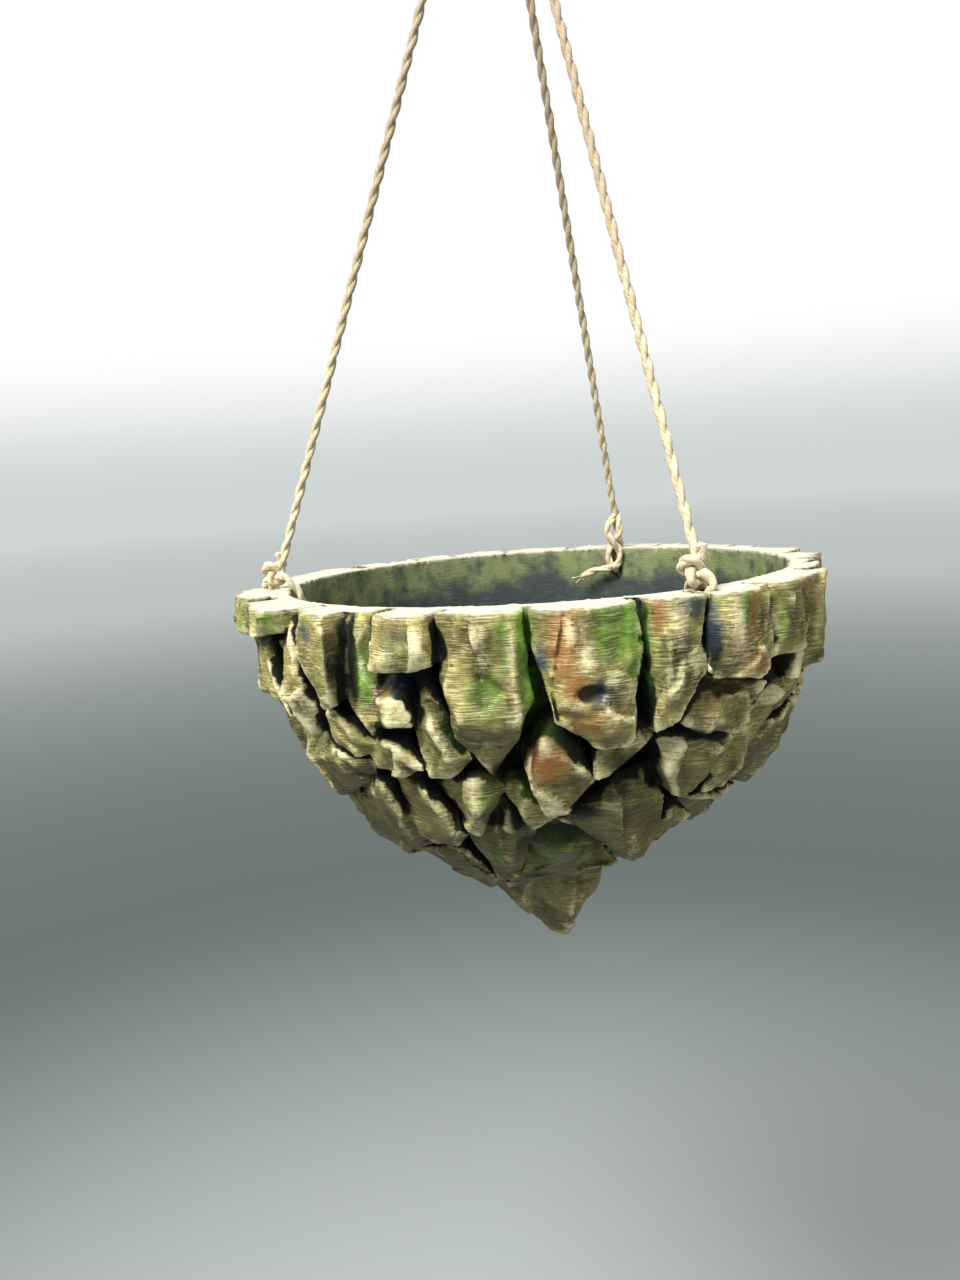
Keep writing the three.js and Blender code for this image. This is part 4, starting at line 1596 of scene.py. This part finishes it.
@dataclass(frozen=True)
class FrayedEnd:
    """Loose fibres that splay from a cut end of twine."""

    fibres: int = 9
    lean: float = 0.38
    shortest: float = 1.6 * MM
    longest: float = 4.2 * MM
    root: float = 1.2 * MM
    root_spread: float = 0.35 * MM
    half_reach: float = 0.6
    early_lean: float = 0.4
    late_run: float = 0.6
    radius: float = 0.17 * MM
    sides: int = 5
    step: float = 0.4 * MM

    def strands(self, path: Sequence[Vector], seed: int) -> list[Strand]:
        """Splay the fibres.

        Args:
            path: The path of the cut twine.
            seed: Seed of the fibres' spread.

        Returns:
            One thin strand for each fibre.
        """
        draw = np.random.default_rng(seed)
        tip = path[-1]
        along = (path[-1] - path[-4]).normalized()
        splayed = []
        for index in range(self.fibres):
            lean = Vector(draw.normal(0.0, self.lean, 3))
            reach = draw.uniform(self.shortest, self.longest) * self.half_reach
            start = tip - along * self.root + Vector(draw.normal(0.0, self.root_spread, 3))
            middle = start + (along + self.early_lean * lean) * reach
            end = middle + (along * self.late_run + lean) * reach
            splayed.append(
                Strand(
                    smooth_path([start, middle, end], self.step),
                    plies=1,
                    ply_radius=self.radius,
                    lay_radius=0.0,
                    sides=self.sides,
                    step=self.step,
                    fuzz_density=0.0,
                    seed=index,
                )
            )
        return splayed


def overhand(size: float, deep: float, count: int = 30) -> tuple[Triple, ...]:
    """Route of an overhand knot that is open at its right side.

    Args:
        size: A third of the reach of its lobes.
        deep: How far its strands pass in front of and behind each other.
        count: How many steps the route has.

    Returns:
        Steps across, up and to the front of the knot's middle.
    """
    opening, sweep = 75, 300
    route = []
    for index in range(count + 1):
        turn = math.radians(opening + sweep * index / count)
        across = size * (math.sin(turn) + 2 * math.sin(2 * turn))
        up = size * (math.cos(turn) - 2 * math.cos(2 * turn))
        route.append((across, up, deep * math.sin(3 * turn)))
    return tuple(route)


@dataclass(frozen=True)
class KnotShape:
    """How a cord is tied, in millimetres.

    The middle and the rim steps are outwards, along and up from the rim's inner edge at the hole. The other
    steps are across, up and to the front of the middle.
    """

    middle: Triple
    knot: tuple[Triple, ...]
    tail: tuple[Triple, ...]
    loop: tuple[Triple, ...]
    loop_on_rim: tuple[Triple, ...]


KNOTS = {
    Place.RIGHT: KnotShape(
        middle=(4.2, -2.0, 5.4),
        knot=((1.6, 6.0, 0.2), *overhand(1.2, 1.7), (3.2, -2.4, 1.4), (3.9, -4.0, 1.6), (3.2, -5.6, 1.2)),
        tail=((1.0, 0.0, -2.0), (1.6, -1.0, -4.4), (2.4, -3.0, -6.4), (3.0, -7.0, -7.6), (3.2, -11.0, -7.8)),
        loop=((3.4, -4.8, 1.4), (2.9, -6.3, 0.9)),
        loop_on_rim=(
            (3.1, 0.0, -4.0), (0.0, 0.0, -8.6), (-2.2, 0.4, -10.4), (-3.9, 1.2, -8.6), (-3.6, 1.6, -4.0),
            (-2.2, 1.2, 0.4), (0.2, 0.2, 2.8), (2.6, -1.0, 4.0),
        ),
    ),
    Place.LEFT: KnotShape(
        middle=(4.6, 0.0, 5.2),
        knot=(
            (1.0, 6.0, 0.0), *overhand(1.2, 1.7), (3.4, -1.6, 1.6), (5.4, -3.6, 1.4), (7.0, -6.4, 1.0),
            (7.9, -10.0, 0.6),
        ),
        tail=((-1.4, -1.4, -1.0), (-3.8, -3.0, -2.0), (-5.0, -3.9, -4.6), (-4.4, -3.7, -7.6)),
        loop=((-0.6, -2.4, 0.6), (-1.2, -4.4, 0.4)),
        loop_on_rim=(
            (5.2, 0.0, -0.9), (3.1, 0.0, -4.0), (0.0, 0.0, -8.6), (-1.8, 0.2, -10.4), (-3.2, 0.5, -8.6),
            (-3.4, 0.6, -5.0),
        ),
    ),
    Place.BACK: KnotShape(
        middle=(-2.2, 0.0, 1.0),
        knot=(
            (1.9, 13.0, -3.8), (0.4, 10.6, -1.4), (-1.9, 8.0, 0.6), (-2.2, 5.0, 1.2), (-0.3, 1.8, 1.7),
            (1.8, -1.4, 0.8), (2.2, -4.2, 0.4), (1.4, -6.8, 0.9), (-1.0, -8.2, 1.4),
        ),
        tail=((0.4, -7.6, 1.2), (-2.6, -8.4, 1.6), (-6.0, -8.6, 1.4), (-9.4, -9.6, 1.0), (-12.4, -10.8, 0.8)),
        loop=(
            (2.2, 11.6, -3.0), (2.5, 8.4, -0.4), (2.3, 5.2, 0.2), (0.4, 1.9, -0.9), (-1.7, -1.4, 0.2),
            (-2.1, -4.4, 0.6), (-1.2, -7.4, 0.2), (0.2, -9.3, -0.6),
        ),
        loop_on_rim=((1.4, 0.0, -6.6), (3.1, 0.0, -4.0), (5.2, 0.0, -0.9), (5.4, 0.0, 1.6), (4.2, 0.0, 3.4)),
    ),
}


HOLE_AZIMUTHS = {Place.BACK: 66.0, Place.LEFT: 184.0, Place.RIGHT: 300.0}


@dataclass
class RimCord:
    """One cord with the knot on the rim, its loop through the hole and its free end."""

    place: Place
    azimuth: float
    rim_z: float
    pivot: Vector
    seed: int
    body: str = "planter"
    foot: Triple = (4.2, 0.0, 2.6)
    run_steps: int = 40
    run_fuzz: float = 2.5e4
    route_step: float = 0.5 * MM
    tied_step: float = 0.6 * MM
    knot_seed: int = 10
    loop_seed: int = 20
    tail_seed: int = 30
    fray_seed: int = 40

    def rim_point(self, outwards: float, along: float, up: float) -> Vector:
        """Point beside the hole, in millimetres outwards, along and up from the rim's inner edge."""
        point = polar(self.azimuth, RIM_INNER_RADIUS + outwards * MM, self.rim_z + up * MM)
        return point + polar(self.azimuth + 90, along * MM, 0.0)

    def front_points(self, steps: Sequence[Triple]) -> list[Vector]:
        """Points beside the knot's middle, in millimetres across, up and to the front."""
        middle = self.rim_point(*KNOTS[self.place].middle)
        return [middle + Vector((across, -forward, up)) * MM for across, up, forward in steps]

    def _tied(self, points: Sequence[Vector], seed: int) -> Strand:
        """Twine along a route of the knot."""
        return Strand(smooth_path(points, self.route_step), step=self.tied_step, seed=self.seed + seed)

    def _lay(self, twine: TwineMaker, piece: str, node: str, *strands: Strand) -> bpy.types.Object:
        """Lay one stretch of the cord as a piece that stands for a solid."""
        place = self.place.value
        return twine.piece(f"twine_{piece}_{place}", strands, self.body, f"{node}_{place}")

    def build(self, twine: TwineMaker) -> bpy.types.Object:
        """Lay the cord and its knot.

        Args:
            twine: What lays the plies.

        Returns:
            The cord's straight run.
        """
        shape = KNOTS[self.place]
        foot = self.rim_point(*self.foot)
        upwards = (self.pivot - foot).normalized()
        top = self.pivot - upwards * (GATHER_CORE_RADIUS - CORD_DIAMETER)
        line = [foot.lerp(top, index / self.run_steps) for index in range(self.run_steps + 1)]
        straight = Strand(line, fuzz_density=self.run_fuzz, seed=self.seed)
        turns = self._tied(self.front_points(shape.knot), self.knot_seed)
        on_rim = [self.rim_point(*step) for step in shape.loop_on_rim]
        through = self._tied(self.front_points(shape.loop) + on_rim, self.loop_seed)
        free_end = self._tied(self.front_points(shape.tail), self.tail_seed)
        frayed = FrayedEnd().strands(free_end.path, self.seed + self.fray_seed)
        cord = self._lay(twine, "cord", "cord", straight)
        knot = self._lay(twine, "knot", "rim_knot", turns)
        loop = self._lay(twine, "hole_loop", "hole_loop", through)
        tail = self._lay(twine, "tail", "knot_tail", free_end, *frayed)
        return cord


@dataclass
class GatherKnot:
    """The knot that gathers the cords: strands over a round core, turns round it and cut ends."""

    lower: Vector
    upper: Vector
    body: str = "gather_knot"
    core_strands: int = 9
    core_turn: int = 10
    core_seed: int = 80
    turns: int = 3
    turn_steps: int = 36
    pitch: float = 3.5 * MM
    turn_gap: float = 0.5 * MM
    wrap_start: float = 90.0
    wrap_seed: int = 51
    ends: dict[Place, float] = field(
        default_factory=lambda: {Place.LEFT: 115.0, Place.BACK: 65.0, Place.RIGHT: 270.0}
    )
    end_root: float = 1.2 * MM
    end_route: tuple[tuple[float, float], ...] = ((0, 2), (3.5, 1), (6, -4), (6.5, -11))
    end_step: float = 0.6 * MM
    end_seed: int = 60
    fray_seed: int = 10

    def build(self, twine: TwineMaker) -> None:
        """Lay the core, the turns and the cut ends.

        Args:
            twine: What lays the plies.
        """
        twine.piece("twine_gather_core", self._core(), self.body, "gather_knot_core")
        middle = (self.lower.z + self.upper.z) / 2
        around = GATHER_CORE_RADIUS + CORD_DIAMETER / 2 + self.turn_gap
        wrap = Strand(self._wrap(middle, around), seed=self.wrap_seed)
        twine.piece("twine_gather_wrap", [wrap], self.body, "gather_knot_wrap")
        reach = around + CORD_DIAMETER + CORD_GAP
        for seed, (place, azimuth) in enumerate(self.ends.items(), start=self.end_seed):
            points = [polar(azimuth, reach - CORD_DIAMETER, middle + self.end_root)]
            points += [polar(azimuth, reach + out * MM, middle + up * MM) for out, up in self.end_route]
            path = smooth_path(points, self.end_step)
            strands = [Strand(path, seed=seed), *FrayedEnd().strands(path, seed + self.fray_seed)]
            twine.piece(f"twine_gather_end_{place.value}", strands, self.body, f"gather_tail_{place.value}")

    def _wrap(self, middle: float, around: float) -> list[Vector]:
        """Path of the turns round the core.

        Args:
            middle: The level of the turns' middle.
            around: Their radius.

        Returns:
            Points along the turns.
        """
        steps = self.turn_steps * self.turns
        path = []
        for index in range(steps + 1):
            share = index / steps
            level = middle + self.pitch * self.turns * (share - 0.5)
            path.append(polar(self.wrap_start - 360 * self.turns * share, around, level))
        return path

    def _core(self) -> list[Strand]:
        """Strands side by side from pole to pole of the core.

        Returns:
            The strands, without loose fibres.
        """
        around = GATHER_CORE_RADIUS - CORD_DIAMETER / 2
        strands = []
        for index in range(self.core_strands):
            azimuth = 360 * index / self.core_strands
            path = []
            for centre, start in ((self.lower.z, -90), (self.upper.z, 0)):
                for turn in range(0, 91, self.core_turn):
                    lift = math.radians(start + turn)
                    path.append(polar(azimuth, around * math.cos(lift), centre + around * math.sin(lift)))
            strands.append(Strand(path, fuzz_density=0.0, seed=self.core_seed + index))
        return strands


@dataclass
class HangingLoop:
    """Three strands side by side, doubled over the hook."""

    upper: Vector
    body: str = "hanging_loop"
    height: float = 32 * MM
    width: float = 19 * MM
    strands: int = 3
    outline: tuple[tuple[float, float], ...] = ((0.92, 0.45), (1.0, 0.68), (0.72, 0.94))
    foot: tuple[float, float] = (0.76, 0.62)
    foot_lead: float = 1.5
    route_step: float = 0.6 * MM
    fuzz: float = 1.0e5
    seed: int = 95

    def build(self, twine: TwineMaker) -> None:
        """Lay each strand of the loop.

        Args:
            twine: What lays the plies.
        """
        for index in range(self.strands):
            y = (index - (self.strands - 1) / 2) * (CORD_DIAMETER + CORD_GAP)
            foot = Vector((GATHER_CORE_RADIUS * self.foot[0], y, GATHER_CORE_RADIUS * self.foot[1]))
            foot = foot.normalized() * (GATHER_CORE_RADIUS + 2 * CORD_GAP)
            lead = foot * self.foot_lead
            lead.y = y
            rising = [self.upper + foot, self.upper + lead]
            for wide, high in self.outline:
                rising.append(self.upper + Vector((self.width / 2 * wide, y, self.height * high)))
            falling = [Vector((-point.x, point.y, point.z)) for point in reversed(rising)]
            top = Vector((0.0, y, CORD_DIAMETER / 2))
            path = smooth_path([*rising, top, *falling], self.route_step)
            strand = Strand(path, fuzz_density=self.fuzz, seed=self.seed + index)
            twine.piece(f"twine_loop_{index + 1}", [strand], self.body, f"loop_strand_{index + 1}")


@dataclass(frozen=True)
class Lamp:
    """A soft square lamp: its name, place, size and power."""

    name: str
    place: Triple
    size: float
    power: float


@dataclass
class Studio:
    """Camera, soft lights, pale floor and background."""

    camera_place: Triple = (0.0, -0.3184, -0.2490)
    yaw: float = 3.436
    pitch: float = -9.487
    roll: float = -3.861
    focal_pixels: float = 994.59
    sensor: float = 36.0
    nearest: float = 0.01
    lamps: tuple[Lamp, ...] = (
        Lamp("key_light", (-0.46, -0.64, 0.62), 0.55, 33.0),
        Lamp("fill_light", (0.8, -0.9, 0.0), 1.2, 5.0),
        Lamp("back_light", (0.3, 0.9, 0.5), 0.9, 7.0),
    )
    lamp_aim: Triple = (0.0, 0.0, -0.33)
    floor_z: float = -0.80
    floor_half: float = 60.0
    floor: Colour = (0.41, 0.445, 0.435, 1.0)
    dusk: Colour = (0.150, 0.182, 0.173, 1.0)
    haze: Colour = (0.50, 0.54, 0.53, 1.0)
    horizon: Colour = (0.62, 0.67, 0.655, 1.0)
    zenith: Colour = (1.0, 1.0, 1.0, 1.0)
    sky_light: Colour = (0.95, 0.98, 1.0, 1.0)
    sky_level: float = 0.20
    sky_rise: Fade = Fade(0.0, 0.14)
    haze_reach: Fade = Fade(0.8, 5.0)
    horizon_reach: Fade = Fade(4.0, 16.0)
    shadow_reach: Fade = Fade(0.15, 1.1)

    def build(self) -> None:
        """Set up everything that isn't part of the planter."""
        scene = bpy.context.scene
        scene.view_settings.view_transform = "Standard"
        self._camera(scene)
        for lamp in self.lamps:
            self._light(scene, lamp)
        self._world(scene)
        self._floor()

    def _camera(self, scene: bpy.types.Scene) -> None:
        """Stand the camera where the photographer stood.

        Args:
            scene: The scene.
        """
        data = bpy.data.cameras.new("camera")
        data.sensor_width = self.sensor
        data.sensor_fit = "AUTO"
        data.lens = self.sensor * self.focal_pixels / PHOTO_LONG_SIDE
        data.clip_start = self.nearest
        camera = bpy.data.objects.new("camera", data)
        scene.collection.objects.link(camera)
        turn = (
            Matrix.Rotation(math.radians(self.yaw), 4, "Z")
            @ Matrix.Rotation(math.radians(90 + self.pitch), 4, "X")
            @ Matrix.Rotation(math.radians(self.roll), 4, "Z")
        )
        camera.matrix_world = Matrix.Translation(self.camera_place) @ turn
        scene.camera = camera

    def _light(self, scene: bpy.types.Scene, lamp: Lamp) -> None:
        """Add a lamp that faces the bowl.

        Args:
            scene: The scene.
            lamp: The lamp.
        """
        data = bpy.data.lights.new(lamp.name, "AREA")
        data.size = lamp.size
        data.energy = lamp.power
        light = bpy.data.objects.new(lamp.name, data)
        scene.collection.objects.link(light)
        light.location = lamp.place
        aim = Vector(self.lamp_aim) - Vector(lamp.place)
        light.rotation_euler = aim.to_track_quat("-Z", "Y").to_euler()

    @staticmethod
    def _background_ray(pad: NodePad) -> Socket:
        """Pick out the rays that show the background: the camera's, and those off gloss or through glass.

        Args:
            pad: The pad of the material or the world.

        Returns:
            1 for such a ray, and 0 for one that lights the planter.
        """
        rays = pad.add("ShaderNodeLightPath").outputs
        shown = pad.math("MAXIMUM", rays["Is Camera Ray"], rays["Is Glossy Ray"])
        return pad.math("MAXIMUM", shown, rays["Is Transmission Ray"])

    def _world(self, scene: bpy.types.Scene) -> None:
        """Light the scene evenly, and show a pale grey sky that whitens upwards.

        Args:
            scene: The scene.
        """
        world = bpy.data.worlds.new("studio")
        world.use_nodes = True
        world.node_tree.nodes.clear()
        scene.world = world
        pad = NodePad(world.node_tree)
        way = pad.add("ShaderNodeTexCoord").outputs["Generated"]
        rise = pad.add("ShaderNodeSeparateXYZ", {0: way}).outputs["Z"]
        tone = pad.mix(pad.ramp(rise, self.sky_rise), self.horizon, self.zenith)
        light = pad.add("ShaderNodeBackground", {"Color": self.sky_light, "Strength": self.sky_level})
        seen = pad.add("ShaderNodeBackground", {"Color": tone, "Strength": 1.0})
        both = pad.add(
            "ShaderNodeMixShader",
            {0: self._background_ray(pad), 1: light.outputs[0], 2: seen.outputs[0]},
        )
        pad.add("ShaderNodeOutputWorld", {"Surface": both.outputs[0]})

    def _floor(self) -> None:
        """Lay the pale floor, which fades into the horizon far behind the planter."""
        half = self.floor_half
        mesh = bpy.data.meshes.new("floor")
        corners = [(-half, -half), (half, -half), (half, half), (-half, half)]
        mesh.from_pydata([(x, y, self.floor_z) for x, y in corners], [], [(0, 1, 2, 3)])
        floor = new_object("floor", mesh)
        material, pad = empty_material("floor")
        place = pad.add("ShaderNodeTexCoord").outputs["Object"]
        flat = pad.vector("MULTIPLY", place, (1.0, 1.0, 0.0))
        away = pad.add("ShaderNodeVectorMath", {0: flat}, operation="LENGTH").outputs["Value"]
        near = pad.add("ShaderNodeBsdfDiffuse", {"Color": self.floor})
        tone = pad.mix(pad.ramp(away, self.haze_reach), self.dusk, self.haze)
        tone = pad.mix(pad.ramp(away, self.horizon_reach), tone, self.horizon)
        far = pad.add("ShaderNodeEmission", {"Color": tone})
        share = pad.times(pad.ramp(away, self.shadow_reach), self._background_ray(pad))
        both = pad.add("ShaderNodeMixShader", {0: share, 1: near.outputs[0], 2: far.outputs[0]})
        pad.add("ShaderNodeOutputMaterial", {"Surface": both.outputs[0]})
        mesh.materials.append(material)


def main() -> None:
    """Build the planter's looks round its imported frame."""
    logging.basicConfig(level=logging.INFO, format="%(name)s: %(message)s")
    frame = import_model()
    pivots = {joint["name"]: Vector(joint["pos_m"]) for joint in frame["joints"]}
    rim_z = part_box("rock_bowl")[1].z
    effects = SharedEffects()
    Studio().build()
    twine = TwineMaker(TwineFinish().material(effects))
    for seed, (place, azimuth) in enumerate(HOLE_AZIMUTHS.items(), start=1):
        RimCord(place, azimuth, rim_z, pivots["swing_side"], seed).build(twine)
    GatherKnot(pivots["swing_side"], pivots["swing_front_back"]).build(twine)
    HangingLoop(pivots["swing_front_back"]).build(twine)
    RockBowl().build(StonePaint().material(effects))


if __name__ == "__main__":
    main()
